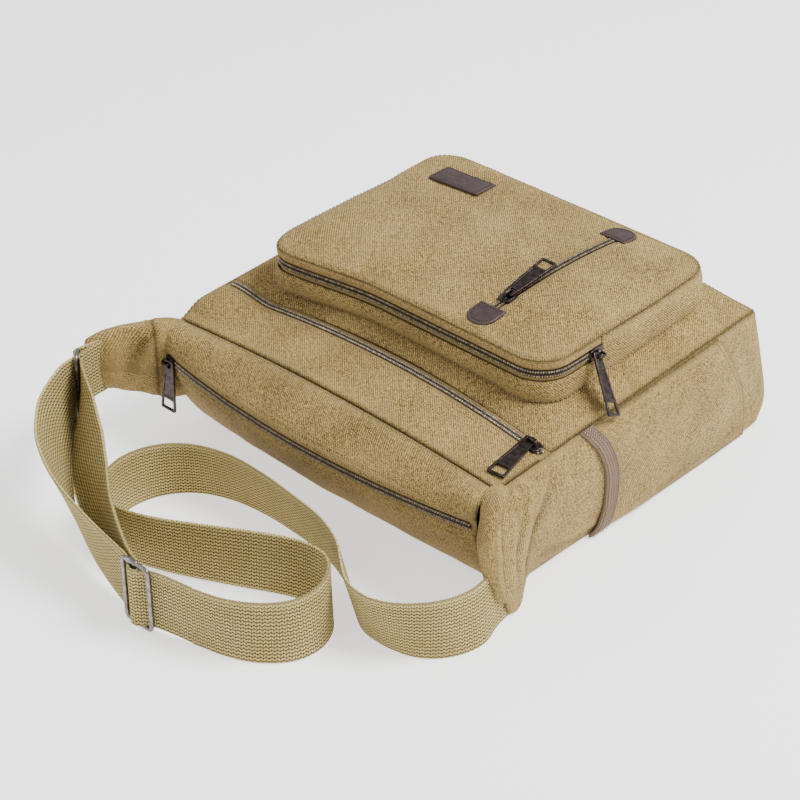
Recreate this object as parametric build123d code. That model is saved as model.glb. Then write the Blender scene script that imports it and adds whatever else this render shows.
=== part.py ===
from build123d import *

import os
from math import atan2, cos, degrees, hypot, radians, sin, tan

# A canvas messenger bag lying on its back: +X across its width, +Y from the zipped top to the bottom,
# +Z out of the front. The origin is on the back face, and every size is in millimetres.

# The bag's outline at its ends, in the YZ plane
HALF_WIDTH = 170.0
WALL = 2.5  # canvas with its backing and lining turned in
BACK_TOP_Y = -133.0
BACK_BOTTOM_Y = 172.0
BULGE = (180.0, 22.0)  # the bottom swells just above the floor
FRONT_BOTTOM = (152.0, 115.0)
FRONT_TOP = (-153.0, 99.0)  # seam between the front and the top gusset
MAIN_ZIP_END = (-174.0, 76.0)
FRONT_CROWN = 8.0  # how far the front swells at mid width
MAIN_ZIP_BOW = 17.0  # how far the top gusset swells at mid width

# Zips, in the frame of the fabric's outer face: across the zip, then out of the fabric
SLOT_HALF = 6.5
TAPE_HALF = 6.3
TAPE_DEPTHS = (-3.3, -2.6)
CHAIN_GAP, CHAIN_HALF = 0.9, 3.7
CHAIN_DEPTHS = (-2.6, 0.0)
CHAIN_END_X = 163.0
FRONT_ZIP_Y = -100.0
FRONT_ZIP_BOW = 8.0

# Sliders and pulls
SLIDER_LENGTH, SLIDER_WIDTH = 15.0, 11.0
PLATE = 1.4
TOP_PLATE_Z, BOTTOM_PLATE_Z = 0.4, -5.1
BAIL_SPAN, BAIL_WIRE, BAIL_RISE = 7.2, 0.9, 4.9
SPLAYED_BAIL_RISE = 7.0  # the box pocket's pull stands off the wall, so its bail is taller
PULL_LENGTH, PULL_THICK = 50.0, 1.8
PULL_NARROW, PULL_WIDE = 9.0, 15.0
PULL_RISE = 0.4  # clear height between slider and pull

# Box pocket, in its own frame: x across, y up from the zipped side, z out of the face
POCKET_HALF, POCKET_LENGTH, POCKET_CORNER = 142.0, 200.0, 28.0
POCKET_ORIGIN = (0.0, -72.0, 139.0)  # on the pocket zip's centre line
POCKET_TILT = 0.8
FACE_HEIGHT, FACE_CROWN = 15.0, 8.0
POCKET_ZIP_END = 66.0
FACE_ZIP_X, FACE_ZIP_START, FACE_ZIP_END = 65.0, 26.0, 174.0

# Strap, ring and adjuster
STRAP_WIDTH, STRAP_THICK = 50.0, 2.0
WIRE = 1.75
BAR_SPACING = 13.5
ADJUSTER = (3.5, -350.0)
ADJUSTER_LIFT = 3.8
STRAP_START = (186.0, -158.0)  # sewn to the outside of the right tab
RING_BASE = 50.0
RING_HEIGHT = 54.0
RING_INNER, RING_OUTER = (-189.0, -240.0), (-179.2, -250.2)

FAR = 600.0


def bow_radius(half_chord, bow):
    """Radius of the arc that rises by bow over twice half_chord."""
    return (half_chord**2 + bow**2) / (2 * bow)


def bow_at(x, half_chord, bow):
    """How far that arc stands above its chord at x."""
    radius = bow_radius(half_chord, bow)
    return (radius**2 - x**2) ** 0.5 - (radius - bow)


def block(x, y, z):
    """A box from its lowest and highest x, y and z."""
    size = [high - low for low, high in (x, y, z)]
    centre = [(high + low) / 2 for low, high in (x, y, z)]
    return Pos(*centre) * Box(*size)


def outline(x):
    """The bag's six corners in the YZ plane at x, from the back's top edge round by the bottom."""
    crown = bow_at(x, HALF_WIDTH, FRONT_CROWN)
    bow = bow_at(x, HALF_WIDTH, MAIN_ZIP_BOW)
    return [
        (BACK_TOP_Y, 0),
        (BACK_BOTTOM_Y, 0),
        BULGE,
        (FRONT_BOTTOM[0], FRONT_BOTTOM[1] + crown),
        (FRONT_TOP[0], FRONT_TOP[1] + crown),
        (MAIN_ZIP_END[0] - bow, MAIN_ZIP_END[1]),
    ]


def section(x, inset):
    """The bag's cross-section at x, as a face that is inset from the outside."""
    face = make_face(Polyline(*outline(x), close=True))
    if inset:
        face = offset(face, -inset, kind=Kind.INTERSECTION)
    return Plane(origin=(x, 0, 0), x_dir=(0, 1, 0), z_dir=(1, 0, 0)) * face


def bag_volume(inset, half_width):
    """The bag's whole volume, inset from the outside, between two ends."""
    stations = [half_width * share for share in (-1, -0.7, -0.36, 0, 0.36, 0.7, 1)]
    return loft([section(x, inset) for x in stations])


def arc_band(half_chord, bow, low, high, reach):
    """Plan face along an arc that bows towards +Y: low and high are offsets from the arc, reach its half length."""
    radius = bow_radius(half_chord, bow)
    ends = reach / radius

    def point(offset_y, angle):
        r = radius + offset_y
        return (r * sin(angle), r * cos(angle) - radius + bow)

    edges = [
        ThreePointArc(point(low, -ends), point(low, 0), point(low, ends)),
        Line(point(low, ends), point(high, ends)),
        ThreePointArc(point(high, ends), point(high, 0), point(high, -ends)),
        Line(point(high, -ends), point(low, -ends)),
    ]
    return make_face(edges)


# The front face's own frame, in which z is the height over the front's flat chord.
FRONT_SLOPE = degrees(atan2(FRONT_BOTTOM[1] - FRONT_TOP[1], FRONT_BOTTOM[0] - FRONT_TOP[0]))
FRONT_FRAME = Pos(0, *FRONT_TOP) * Rot(X=FRONT_SLOPE)


def front_slab(low, high, half=HALF_WIDTH):
    """A crowned slab of the front, between two heights over its outer face."""
    plan = arc_band(HALF_WIDTH, FRONT_CROWN, low, high, half)
    slab = extrude(plan, FAR / 2, both=True)
    return FRONT_FRAME * Rot(X=90) * slab


def front_zip_band(low, high, reach=CHAIN_END_X):
    """A vertical prism along the slip pocket's zip, between two offsets from its centre line."""
    plan = arc_band(HALF_WIDTH, FRONT_ZIP_BOW, low, high, reach)
    return extrude(Pos(0, FRONT_ZIP_Y) * plan, FAR)


def main_zip_wall(low, high, z, reach=CHAIN_END_X):
    """A piece of the main zip: an arc wall between two heights over the top gusset's outer face."""
    plan = Rot(Z=180) * arc_band(HALF_WIDTH, MAIN_ZIP_BOW, low, high, reach)
    wall = extrude(Pos(0, MAIN_ZIP_END[0]) * plan, z[1] - z[0])
    return Pos(0, 0, MAIN_ZIP_END[1] + z[0]) * wall


def both_sides(make, low, high):
    """The two halves of something that lies on both sides of a zip's centre line."""
    return make(low, high) + make(-high, -low)


def main_panels():
    """The canvas pieces that make the bag's hollow body."""
    shell = bag_volume(0, HALF_WIDTH - WALL) - bag_volume(WALL, HALF_WIDTH - WALL)
    seam_y, front_end, zip_z = FRONT_TOP[0], FRONT_BOTTOM[0] - WALL, MAIN_ZIP_END[1]
    wide = (-FAR, FAR)
    front = shell & block(wide, (seam_y, front_end), (50, FAR))
    near = block(wide, (-FAR, FRONT_ZIP_Y - 20), wide)
    slot = front_zip_band(-SLOT_HALF, SLOT_HALF, HALF_WIDTH + 5)
    lower, upper = sorted((front - slot).solids(), key=lambda s: s.center().Y)
    return {
        "back_panel": block((WALL - HALF_WIDTH, HALF_WIDTH - WALL), (BACK_TOP_Y, BACK_BOTTOM_Y), (0, WALL)),
        "bottom_panel": shell & block(wide, (front_end, FAR), (WALL, FAR)),
        "front_panel_upper": upper,
        "front_panel_lower": lower,
        "top_band_front": shell & block(wide, (-FAR, seam_y), (zip_z + SLOT_HALF, FAR)),
        "top_band_back": shell & near & block(wide, wide, (WALL, zip_z - SLOT_HALF)),
    }


def yz_plate(points, low_x, high_x, radius=0):
    """A plate in the YZ plane from its corners, between two x values."""
    face = make_face(Polyline(*points, close=True))
    if radius:
        face = fillet(face.vertices(), radius)
    return Plane(origin=(low_x, 0, 0), x_dir=(0, 1, 0), z_dir=(1, 0, 0)) * extrude(face, high_x - low_x)


LEFT_TAB = [(-140, 30), (-192, 40), (-224, 52), (-224, 101), (-165, 101), (-140, 96)]
RIGHT_TAB = [(-132, 20), (-146, 1), (-174, 1), (-174, 78), (-162, 94), (-138, 96)]
TAB_THICK = 13.0


def gussets():
    """The side panels, whose upper ends are drawn in to tabs that hold the strap."""
    plate = yz_plate(outline(HALF_WIDTH), HALF_WIDTH - WALL, HALF_WIDTH)
    left = mirror(plate, Plane.YZ) + yz_plate(LEFT_TAB, -HALF_WIDTH - TAB_THICK, -HALF_WIDTH, 4)
    right = plate + yz_plate(RIGHT_TAB, HALF_WIDTH, STRAP_START[0] - STRAP_THICK / 2, 5)
    return {"gusset_left": left, "gusset_right": right}


SIDE_POCKET_DEPTH, SIDE_POCKET_WALL = 9.0, 1.6
SIDE_POCKET = [(-42, 94), (-24, 50), (-36, 3), (150, 3), (146, 48), (126, 92), (104, 100)]


def side_pockets():
    """Open slip pockets on the gussets, their mouths facing the bag's top, and the tapes that bind them."""
    outer = yz_plate(SIDE_POCKET, HALF_WIDTH, HALF_WIDTH + SIDE_POCKET_DEPTH)
    inner = make_face(Polyline(*SIDE_POCKET, close=True))
    inner = offset(inner, -SIDE_POCKET_WALL, kind=Kind.INTERSECTION)
    mouth = make_face(Polyline((-60, 90.5), (0, 90.5), (0, 4.6), (-60, 4.6), close=True))
    space = Plane(origin=(HALF_WIDTH, 0, 0), x_dir=(0, 1, 0), z_dir=(1, 0, 0)) * extrude(
        inner + mouth, SIDE_POCKET_DEPTH - SIDE_POCKET_WALL
    )
    pocket = outer - space
    face_x = HALF_WIDTH + SIDE_POCKET_DEPTH
    top, mid, low = SIDE_POCKET[:3]
    tape_points = [top, mid, low, (low[0] + 11, low[1]), (mid[0] + 12, mid[1]), (top[0] + 11, top[1])]
    tape = yz_plate(tape_points, face_x, face_x + 1.2)
    pieces = {"side_pocket_right": pocket, "side_pocket_tape_right": tape}
    for name in ("side_pocket", "side_pocket_tape"):
        pieces[name + "_left"] = mirror(pieces[name + "_right"], Plane.YZ)
    return pieces


def slider_plate(low):
    """One of a slider's two plates, with rounded corners."""
    plan = RectangleRounded(SLIDER_LENGTH, SLIDER_WIDTH, 3)
    return Pos(0, 0, low) * extrude(plan, PLATE)


def slider(bail_rise=BAIL_RISE):
    """A slider in the zip's frame: it runs along X, Y is across the zip, and Z is out of the fabric."""
    plate_top, wide = TOP_PLATE_Z + PLATE, SLIDER_WIDTH / 2
    post = block((2.5, 6.5), (-0.4, 0.4), (BOTTOM_PLATE_Z + PLATE, TOP_PLATE_Z))
    flange = block((-4, 4), (wide - 0.6, wide), (-2.0, TOP_PLATE_Z))
    reach, rise, foot = BAIL_SPAN / 2, plate_top + bail_rise - BAIL_WIRE, plate_top - 0.5
    path = FilletPolyline((-reach, 0, foot), (-reach, 0, rise), (reach, 0, rise), (reach, 0, foot), radius=1.8)
    bail = sweep(Plane(origin=path @ 0, z_dir=path % 0) * Circle(BAIL_WIRE), path=path)
    body = slider_plate(TOP_PLATE_Z) + slider_plate(BOTTOM_PLATE_Z) + post
    return body + flange + mirror(flange, Plane.XZ) + bail


def pull_plate(eye_half):
    """A tapered pull with an eye at the origin, a recessed panel and a window, reaching towards -Y."""
    narrow, wide = PULL_NARROW / 2, PULL_WIDE / 2
    start = eye_half + 1.5
    end = start - PULL_LENGTH
    shape = make_face(Polyline((-narrow, start), (narrow, start), (wide, end), (-wide, end), close=True))
    shape = fillet(shape.vertices(), 1.8)
    plate = Pos(0, 0, -PULL_THICK / 2) * extrude(shape, PULL_THICK)
    window = make_face(Polyline((-4.9, end + 10.5), (4.9, end + 10.5), (5.4, end + 2.2), (-5.4, end + 2.2), close=True))
    window = Pos(0, 0, -2) * extrude(fillet(window.vertices(), 0.8), 4)
    panel = make_face(Polyline((-3.2, -9.5), (3.2, -9.5), (4.6, end + 14), (-4.6, end + 14), close=True))
    recess = Pos(0, 0, PULL_THICK / 2 - 0.5) * extrude(panel, 2)
    return plate - window - recess


def swivel_pull():
    """A pull whose round eye turns about one leg of the bail."""
    hole = Cylinder(2.3, 4)
    return pull_plate(2.3) - hole


def flip_pull():
    """A pull whose end bar lies under the bail, so that it lifts off the zip."""
    bar = 0.8
    eye = block((-2.2, 2.2), (-7.2, -bar), (-2, 2))
    return Pos(0, bar - 1.5, 0) * pull_plate(0) - eye


PULL_HEIGHT = TOP_PLATE_Z + PLATE + PULL_RISE + PULL_THICK / 2


def main_zip():
    """The zip that closes the top gusset, with its slider at the left end."""
    return {
        "main_zip_tape": main_zip_wall(*TAPE_DEPTHS, (CHAIN_GAP, TAPE_HALF))
        + main_zip_wall(*TAPE_DEPTHS, (-TAPE_HALF, -CHAIN_GAP)),
        "main_zip_chain": main_zip_wall(*CHAIN_DEPTHS, (CHAIN_GAP, CHAIN_HALF))
        + main_zip_wall(*CHAIN_DEPTHS, (-CHAIN_HALF, -CHAIN_GAP)),
    }


def on_main_zip(x):
    """The slider's place on the main zip at x, with the zip's outward face as Z."""
    radius = bow_radius(HALF_WIDTH, MAIN_ZIP_BOW)
    turn = degrees(x / radius)
    y = MAIN_ZIP_END[0] - MAIN_ZIP_BOW + radius
    return Pos(0, y, MAIN_ZIP_END[1]) * Rot(Z=turn) * Pos(0, -radius, 0) * Rot(X=90)


def on_front_zip(x):
    """The slider's place on the slip pocket's zip at x. The zip's arc leans between plan and front."""
    slope = radians(FRONT_SLOPE)
    rise = FRONT_CROWN / cos(slope) + FRONT_ZIP_BOW * tan(slope)
    bow = hypot(FRONT_ZIP_BOW, rise)
    radius = bow_radius(HALF_WIDTH, bow)
    lean = degrees(atan2(FRONT_ZIP_BOW, rise))
    height = FRONT_TOP[1] + (FRONT_ZIP_Y - FRONT_TOP[0]) * tan(slope)
    centre = Pos(0, FRONT_ZIP_Y, height) * Rot(X=-lean) * Pos(0, 0, bow - radius)
    return centre * Rot(Y=degrees(x / radius)) * Pos(0, 0, radius) * Rot(X=lean + FRONT_SLOPE)


def front_zip():
    """The slip pocket's zip, on the crowned front."""
    tape = both_sides(lambda low, high: front_zip_band(low, high) & front_slab(*TAPE_DEPTHS), CHAIN_GAP, TAPE_HALF + 2)
    chain = both_sides(lambda low, high: front_zip_band(low, high) & front_slab(*CHAIN_DEPTHS), CHAIN_GAP, CHAIN_HALF)
    return {"front_zip_tape": tape, "front_zip_chain": chain}


POCKET_FRAME = Pos(*POCKET_ORIGIN) * Rot(X=POCKET_TILT)
FACE_RADIUS = bow_radius(POCKET_LENGTH / 2, FACE_CROWN)


def pocket_prism(inset, low, high):
    """The box pocket's plan, inset from its outside, between two heights in its own frame."""
    plan = RectangleRounded(
        2 * (POCKET_HALF - inset), POCKET_LENGTH - 2 * inset, POCKET_CORNER - inset
    )
    return Pos(0, POCKET_LENGTH / 2, low) * extrude(plan, high - low)


def face_slab(low, high, start=0.0, end=POCKET_LENGTH):
    """A slab of the pocket's crowned face between two heights over its outer face, in the pocket's frame."""
    middle = POCKET_LENGTH / 2
    centre_z = FACE_HEIGHT + FACE_CROWN - FACE_RADIUS

    def point(height, y):
        angle = (y - middle) / FACE_RADIUS
        r = FACE_RADIUS + height
        return (middle + r * sin(angle), centre_z + r * cos(angle))

    half = (start + end) / 2
    profile = [
        ThreePointArc(point(low, start), point(low, half), point(low, end)),
        Line(point(low, end), point(high, end)),
        ThreePointArc(point(high, end), point(high, half), point(high, start)),
        Line(point(high, start), point(low, start)),
    ]
    side = Plane(origin=(-FAR / 2, 0, 0), x_dir=(0, 1, 0), z_dir=(1, 0, 0))
    return side * extrude(make_face(profile), FAR)


def box_pocket(bag):
    """The raised pocket: its face, its plain band, its zip band and the zip round its near side."""
    wall = pocket_prism(0, -60, 40) - pocket_prism(WALL, -60, 40)
    lid = face_slab(-WALL, 30, -2, POCKET_LENGTH + 2)
    zip_part = block((-FAR, FAR), (-FAR, POCKET_ZIP_END), (-FAR, FAR))
    plain_part = block((-FAR, FAR), (POCKET_ZIP_END + 0.2, FAR), (-FAR, FAR))
    above = block((-FAR, FAR), (-FAR, FAR), (SLOT_HALF, FAR))
    below = block((-FAR, FAR), (-FAR, FAR), (-FAR, -SLOT_HALF))
    walls = wall - lid
    face_hole = block(
        (FACE_ZIP_X - SLOT_HALF, FACE_ZIP_X + SLOT_HALF), (FACE_ZIP_START, FACE_ZIP_END), (-20, 60)
    )
    face = (pocket_prism(0, -20, 60) & face_slab(-WALL, 0, -2, POCKET_LENGTH + 2)) - face_hole

    def zip_strip(depths, low, high):
        ring = pocket_prism(-depths[1], low, high) - pocket_prism(-depths[0], low, high)
        return ring & block((-FAR, FAR), (-FAR, POCKET_ZIP_END - 1), (-FAR, FAR))

    local = {
        "box_pocket_face": face,
        "box_pocket_band": (walls & plain_part),
        "box_pocket_zip_band_upper": walls & zip_part & above,
        "box_pocket_zip_band_lower": walls & zip_part & below,
        "box_pocket_zip_tape": both_sides(lambda a, b: zip_strip(TAPE_DEPTHS, a, b), CHAIN_GAP, TAPE_HALF),
        "box_pocket_zip_chain": both_sides(lambda a, b: zip_strip(CHAIN_DEPTHS, a, b), CHAIN_GAP, CHAIN_HALF),
    }
    pieces = {name: POCKET_FRAME * part for name, part in local.items()}
    for name in ("box_pocket_band", "box_pocket_zip_band_lower"):
        pieces[name] -= bag
    return pieces


def face_strip(depths, low, high):
    """A strip of the face zip: depths over the face, low and high across the zip."""
    strip = face_slab(*depths, FACE_ZIP_START, FACE_ZIP_END)
    return strip & block((FACE_ZIP_X + low, FACE_ZIP_X + high), (-FAR, FAR), (-FAR, FAR))


def on_face_zip(y):
    """The slider's place on the face zip at y in the pocket's frame, running towards the pocket's far side."""
    middle, centre_z = POCKET_LENGTH / 2, FACE_HEIGHT + FACE_CROWN - FACE_RADIUS
    turn = -degrees((y - middle) / FACE_RADIUS)
    return (
        POCKET_FRAME * Pos(FACE_ZIP_X, middle, centre_z) * Rot(X=turn) * Pos(0, 0, FACE_RADIUS) * Rot(Z=90)
    )


def end_tab(y, outward):
    """A leather tab over one end of the face zip: straight towards the zip and round away from it."""
    half, straight = 12.5, 12.0
    edges = [
        Line((-half, 0), (half, 0)),
        Line((half, 0), (half, straight)),
        ThreePointArc((half, straight), (0, straight + half * 0.9), (-half, straight)),
        Line((-half, straight), (-half, 0)),
    ]
    plan = make_face(edges)
    turned = Rot(Z=0 if outward > 0 else 180) * plan
    prism = Pos(FACE_ZIP_X, y, -20) * extrude(turned, 80)
    return POCKET_FRAME * (prism & face_slab(0.0, 1.6, -2, POCKET_LENGTH + 2))


def face_fittings():
    """The zip on the pocket's face, its leather tabs, the label patch and the pouch behind the zip."""
    tape = both_sides(lambda a, b: face_strip(TAPE_DEPTHS, a, b), CHAIN_GAP, TAPE_HALF + 2)
    chain = both_sides(lambda a, b: face_strip(CHAIN_DEPTHS, a, b), CHAIN_GAP, CHAIN_HALF)
    patch = Pos(-85, 159, -20) * extrude(RectangleRounded(51, 27, 2), 80) & face_slab(0.0, 1.6)
    pouch = block((FACE_ZIP_X - 55, FACE_ZIP_X + 55), (24, 176), (-0.5, 3.5))
    pouch -= block((FACE_ZIP_X - 54.2, FACE_ZIP_X + 54.2), (24.8, 175.2), (0.3, 2.7))
    return {
        "face_zip_tape": POCKET_FRAME * tape,
        "face_zip_chain": POCKET_FRAME * chain,
        "face_zip_tab_near": end_tab(FACE_ZIP_START + 4, -1),
        "face_zip_tab_far": end_tab(FACE_ZIP_END - 4, 1),
        "label_patch": POCKET_FRAME * patch,
        "face_pocket_lining": POCKET_FRAME * pouch,
    }


MAIN_SLIDER_X, FRONT_SLIDER_X = -156.0, 155.0
POCKET_SLIDER_Y, FACE_SLIDER_Y = 57.0, 46.0
POCKET_PULL_SPLAY, POCKET_PULL_TURN, POCKET_PULL_HEIGHT = 36.0, -26.0, 5.2


def sliders_and_pulls():
    """Each zip's slider and the pull on its bail."""
    leg = BAIL_SPAN / 2
    side = Pos(0, 0, PULL_HEIGHT)
    on_pocket = POCKET_FRAME * Pos(POCKET_HALF, POCKET_SLIDER_Y, 0) * Rot(Z=90) * Rot(X=90)
    splayed = Pos(-leg, 0, POCKET_PULL_HEIGHT) * Rot(Z=POCKET_PULL_TURN) * Rot(X=-POCKET_PULL_SPLAY)
    flip_height = TOP_PLATE_Z + PLATE + 1.55
    on_face = on_face_zip(FACE_SLIDER_Y)
    return {
        "main_zip_slider": on_main_zip(MAIN_SLIDER_X) * slider(),
        "main_zip_pull": on_main_zip(MAIN_SLIDER_X) * Pos(leg, 0, 0) * side * Rot(Z=-11) * swivel_pull(),
        "front_zip_slider": on_front_zip(FRONT_SLIDER_X) * slider(),
        "front_zip_pull": on_front_zip(FRONT_SLIDER_X) * Pos(-leg, 0, 0) * side * Rot(Z=14) * swivel_pull(),
        "box_pocket_zip_slider": on_pocket * slider(SPLAYED_BAIL_RISE),
        "box_pocket_zip_pull": on_pocket * splayed * swivel_pull(),
        "face_zip_slider": on_face * slider(),
        "face_zip_pull": on_face * Pos(0, 0, flip_height) * Rot(Y=-4) * Rot(Z=90) * flip_pull(),
    }


def linings():
    """The bag's thin lining, and the pouch that hangs behind the slip pocket's zip."""
    gap, cloth = WALL + 0.3, 0.7
    body = bag_volume(gap, HALF_WIDTH - WALL - 0.3) - bag_volume(gap + cloth, HALF_WIDTH - WALL - 0.3 - cloth)
    reach = block((-FAR, FAR), (-158, 140), (WALL + 0.3, FAR))
    slot = front_zip_band(-SLOT_HALF - 3, SLOT_HALF + 3, HALF_WIDTH + 5) & block((-FAR, FAR), (-FAR, FAR), (60, FAR))
    body = (body & reach) - slot
    low, high, depth = 0.0, 160.0, 16.0
    start = FRONT_ZIP_Y - FRONT_TOP[0] - 14
    outer = block((-150, 150), (start, start + high), (-depth - 6, -6))
    inner = block((-149.2, 149.2), (start + 0.8, start + high - 0.8), (-depth - 5.2, low))
    return {"main_lining": body, "slip_pocket_lining": FRONT_FRAME * (outer - inner)}


def wire_loop(corners, radius, wire):
    """A closed wire frame through four corners."""
    path = FilletPolyline(*corners, radius=radius, close=True)
    return sweep(Plane(origin=path @ 0, z_dir=path % 0) * Circle(wire), path=path)


def strap_hardware():
    """The ring in its webbing loop, and the three-bar adjuster."""
    (ix, iy), (ox, oy) = RING_INNER, RING_OUTER
    low, high = RING_BASE - WIRE, RING_BASE - WIRE + RING_HEIGHT
    ring = wire_loop([(ix, iy, low), (ix, iy, high), (ox, oy, high), (ox, oy, low)], 3, WIRE)
    ring += Pos(ox, oy, low + RING_HEIGHT * 0.72) * Cylinder(WIRE + 0.7, 5)
    x, y = ADJUSTER
    bars = [x - BAR_SPACING, x + BAR_SPACING]
    base, top = WIRE + 0.05, WIRE + 0.05 + RING_HEIGHT
    frame = wire_loop([(bars[0], y, base), (bars[0], y, top), (bars[1], y, top), (bars[1], y, base)], 3, WIRE)
    bar = Pos(x, y, (base + top) / 2) * Cylinder(WIRE, RING_HEIGHT - 2 * WIRE - 0.1)
    bend, cloth = WIRE + 0.3, 1.6
    turn = Pos(ix, iy) * (Circle(bend + cloth) - Circle(bend))
    turn &= Pos(ix, iy - 5) * Rectangle(20, 10)
    loop = turn
    for side in (-1, 1):
        leg_x = ix + side * (bend + cloth / 2)
        loop += Pos(leg_x, iy + 7.95) * Rectangle(cloth, 15.9)
    loop = Pos(0, 0, RING_BASE + 2.2) * extrude(loop, RING_HEIGHT - 2 * WIRE - 4)
    return {"strap_ring": ring, "adjuster_frame": frame, "adjuster_bar": bar, "ring_loop": loop}


# The strap's centre line in plan, from the right tab round the loop on the floor to the adjuster.
LOOP_ROUTE = [
    STRAP_START, (187, -173), (194, -193), (192, -211), (185, -227), (173, -240), (158, -248), (141, -252),
    (122, -250), (104, -238), (84, -222),
    (55, -209), (18, -203), (-22, -200), (-60, -203), (-90, -216), (-108, -240), (-112, -270), (-98, -298),
    (-70, -311), (-40, -302), (-8, -286), (28, -265), (62, -247), (88, -243), (106, -256), (115, -277),
    (112, -300), (94, -320), (72, -331), (58, -334.6),
]
# From there through the adjuster, up to the ring, round its outer bar and back to the adjuster's middle bar.
LEG_ROUTE = [
    (58, -334.6), (44, -338.2), (29, -342.5), (15, -346.2), (3.5, -357.6), (-8, -346.2), (-26, -344.5),
    (-58, -342), (-95, -334), (-128, -318), (-156, -293), (-176, -264), (-183.6, -251.6), (-182.6, -245.6),
    (-176.4, -246.2), (-172, -253), (-150, -272), (-120, -292), (-92, -309), (-62, -324), (-36, -333.5),
    (-14, -341.2), (5, -346.6),
]


def tangent_radii(route):
    """Each corner's radius: as large as its two runs allow, where a run is shared by two corners."""
    radii = []
    for before, corner, after in zip(route, route[1:], route[2:]):
        inward = Vector(*corner) - Vector(*before)
        outward = Vector(*after) - Vector(*corner)
        half_turn = radians(max(inward.get_angle(outward), 0.5)) / 2
        radii.append(0.45 * min(inward.length, outward.length) / tan(half_turn))
    return radii


def webbing(route, low, high):
    """Webbing on edge along a route in plan, between two heights."""
    path = FilletPolyline(*route, radius=tangent_radii(route))
    start = Plane(origin=path @ 0, z_dir=path % 0, x_dir=(0, 0, 1))
    ribbon = sweep(start * Pos((low + high) / 2, 0) * Rectangle(high - low, STRAP_THICK), path=path)
    return ribbon, path


def strap():
    """The shoulder strap, one length of webbing: the loop on the floor and the two legs at the ring."""
    loop, loop_path = webbing(LOOP_ROUTE, 0, STRAP_WIDTH)
    legs, leg_path = webbing(LEG_ROUTE, -60, 170)
    ring_x, lift = -168.0, RING_BASE + 0.2
    lower = [(58, 0), (24, ADJUSTER_LIFT), (-16, ADJUSTER_LIFT), (ring_x, lift), (-200, lift)]
    upper = [(x, z + STRAP_WIDTH) for x, z in reversed(lower)]
    side_view = Plane(origin=(0, -200, 0), x_dir=(1, 0, 0), z_dir=(0, -1, 0))
    legs &= side_view * extrude(make_face(Polyline(*lower, *upper, close=True)), 200)
    bend = WIRE + 0.3
    turn = Circle(bend + STRAP_THICK) - Circle(bend)
    legs += Pos(*ADJUSTER, ADJUSTER_LIFT) * extrude(turn, STRAP_WIDTH)
    print("strap length", round(loop_path.length + leg_path.length, 1))
    return {"shoulder_strap": loop, "shoulder_strap_ring_end": legs}


def build():
    bag = bag_volume(0, HALF_WIDTH)
    nodes = {}
    for group in (
        main_panels(), gussets(), side_pockets(), main_zip(), front_zip(), box_pocket(bag), face_fittings(),
        sliders_and_pulls(), linings(), strap_hardware(), strap(),
    ):
        nodes.update(group)
    os.makedirs("parts", exist_ok=True)
    for name, part in nodes.items():
        export_step(Part(part.wrapped), f"parts/{name}.step")


build()
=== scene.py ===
"""A washed canvas messenger bag lying on its back, its webbing strap standing on edge on the floor."""

from math import acos, atan2, cos, degrees, hypot, pi, radians, sin, tan

import bpy
import numpy as np
from mathutils import Matrix, Vector, noise


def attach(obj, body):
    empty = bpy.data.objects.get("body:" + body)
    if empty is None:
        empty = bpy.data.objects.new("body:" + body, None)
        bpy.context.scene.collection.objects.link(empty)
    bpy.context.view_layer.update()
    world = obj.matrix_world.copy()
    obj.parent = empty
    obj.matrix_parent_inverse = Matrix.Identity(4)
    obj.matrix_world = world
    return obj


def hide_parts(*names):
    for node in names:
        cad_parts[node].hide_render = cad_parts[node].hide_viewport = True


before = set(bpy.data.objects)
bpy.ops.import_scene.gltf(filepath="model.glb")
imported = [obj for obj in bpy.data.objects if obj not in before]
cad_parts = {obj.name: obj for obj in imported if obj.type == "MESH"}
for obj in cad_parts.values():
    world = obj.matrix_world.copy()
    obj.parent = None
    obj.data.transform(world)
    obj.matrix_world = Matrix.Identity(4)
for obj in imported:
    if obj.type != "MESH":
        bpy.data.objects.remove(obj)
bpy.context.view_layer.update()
MM = 0.001

# ------------------------------------------------------- sizes shared with the CAD part, in millimetres
HALF_WIDTH = 170.0
SEAM_X = 168.5
FRONT_TOP, FRONT_BOTTOM = (-153.0, 99.0), (152.0, 115.0)
FRONT_CROWN, MAIN_ZIP_BOW, FRONT_ZIP_BOW, FRONT_ZIP_Y = 8.0, 17.0, 8.0, -100.0
MAIN_ZIP_END = (-174.0, 76.0)
POCKET_HALF, POCKET_LENGTH, POCKET_CORNER = 142.0, 200.0, 28.0
FACE_HEIGHT, FACE_CROWN, POCKET_ZIP_END = 15.0, 8.0, 66.0
FACE_ZIP_X, FACE_ZIP_START, FACE_ZIP_END = 65.0, 26.0, 174.0
FRONT_SLOPE = atan2(FRONT_BOTTOM[1] - FRONT_TOP[1], FRONT_BOTTOM[0] - FRONT_TOP[0])
ZIP_EDGE = 5.4  # from a zip's centre line to the folded edge of the cloth
POCKET_Y, POCKET_Z, POCKET_TILT = -72, 139, 0.8
POCKET_FRAME = Matrix.Translation((0, POCKET_Y, POCKET_Z)) @ Matrix.Rotation(radians(POCKET_TILT), 4, "X")
MAIN_SLIDER_X, FRONT_SLIDER_X = -156, 155
ADJUSTER_X, ADJUSTER_Y, WIRE = 3.5, -350, 1.75


def distances(points):
    """Distance run along a line at each of its points."""
    return np.concatenate([[0], np.cumsum(np.linalg.norm(np.diff(points, axis=0), axis=1))])


def bow_radius(half_chord, bow):
    return (half_chord**2 + bow**2) / (2 * bow)


def bow_at(x, half_chord, bow):
    radius = bow_radius(half_chord, bow)
    return np.sqrt(radius**2 - np.square(x)) - (radius - bow)


def crown(x):
    return bow_at(np.clip(x, -HALF_WIDTH, HALF_WIDTH), HALF_WIDTH, FRONT_CROWN)


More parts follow.
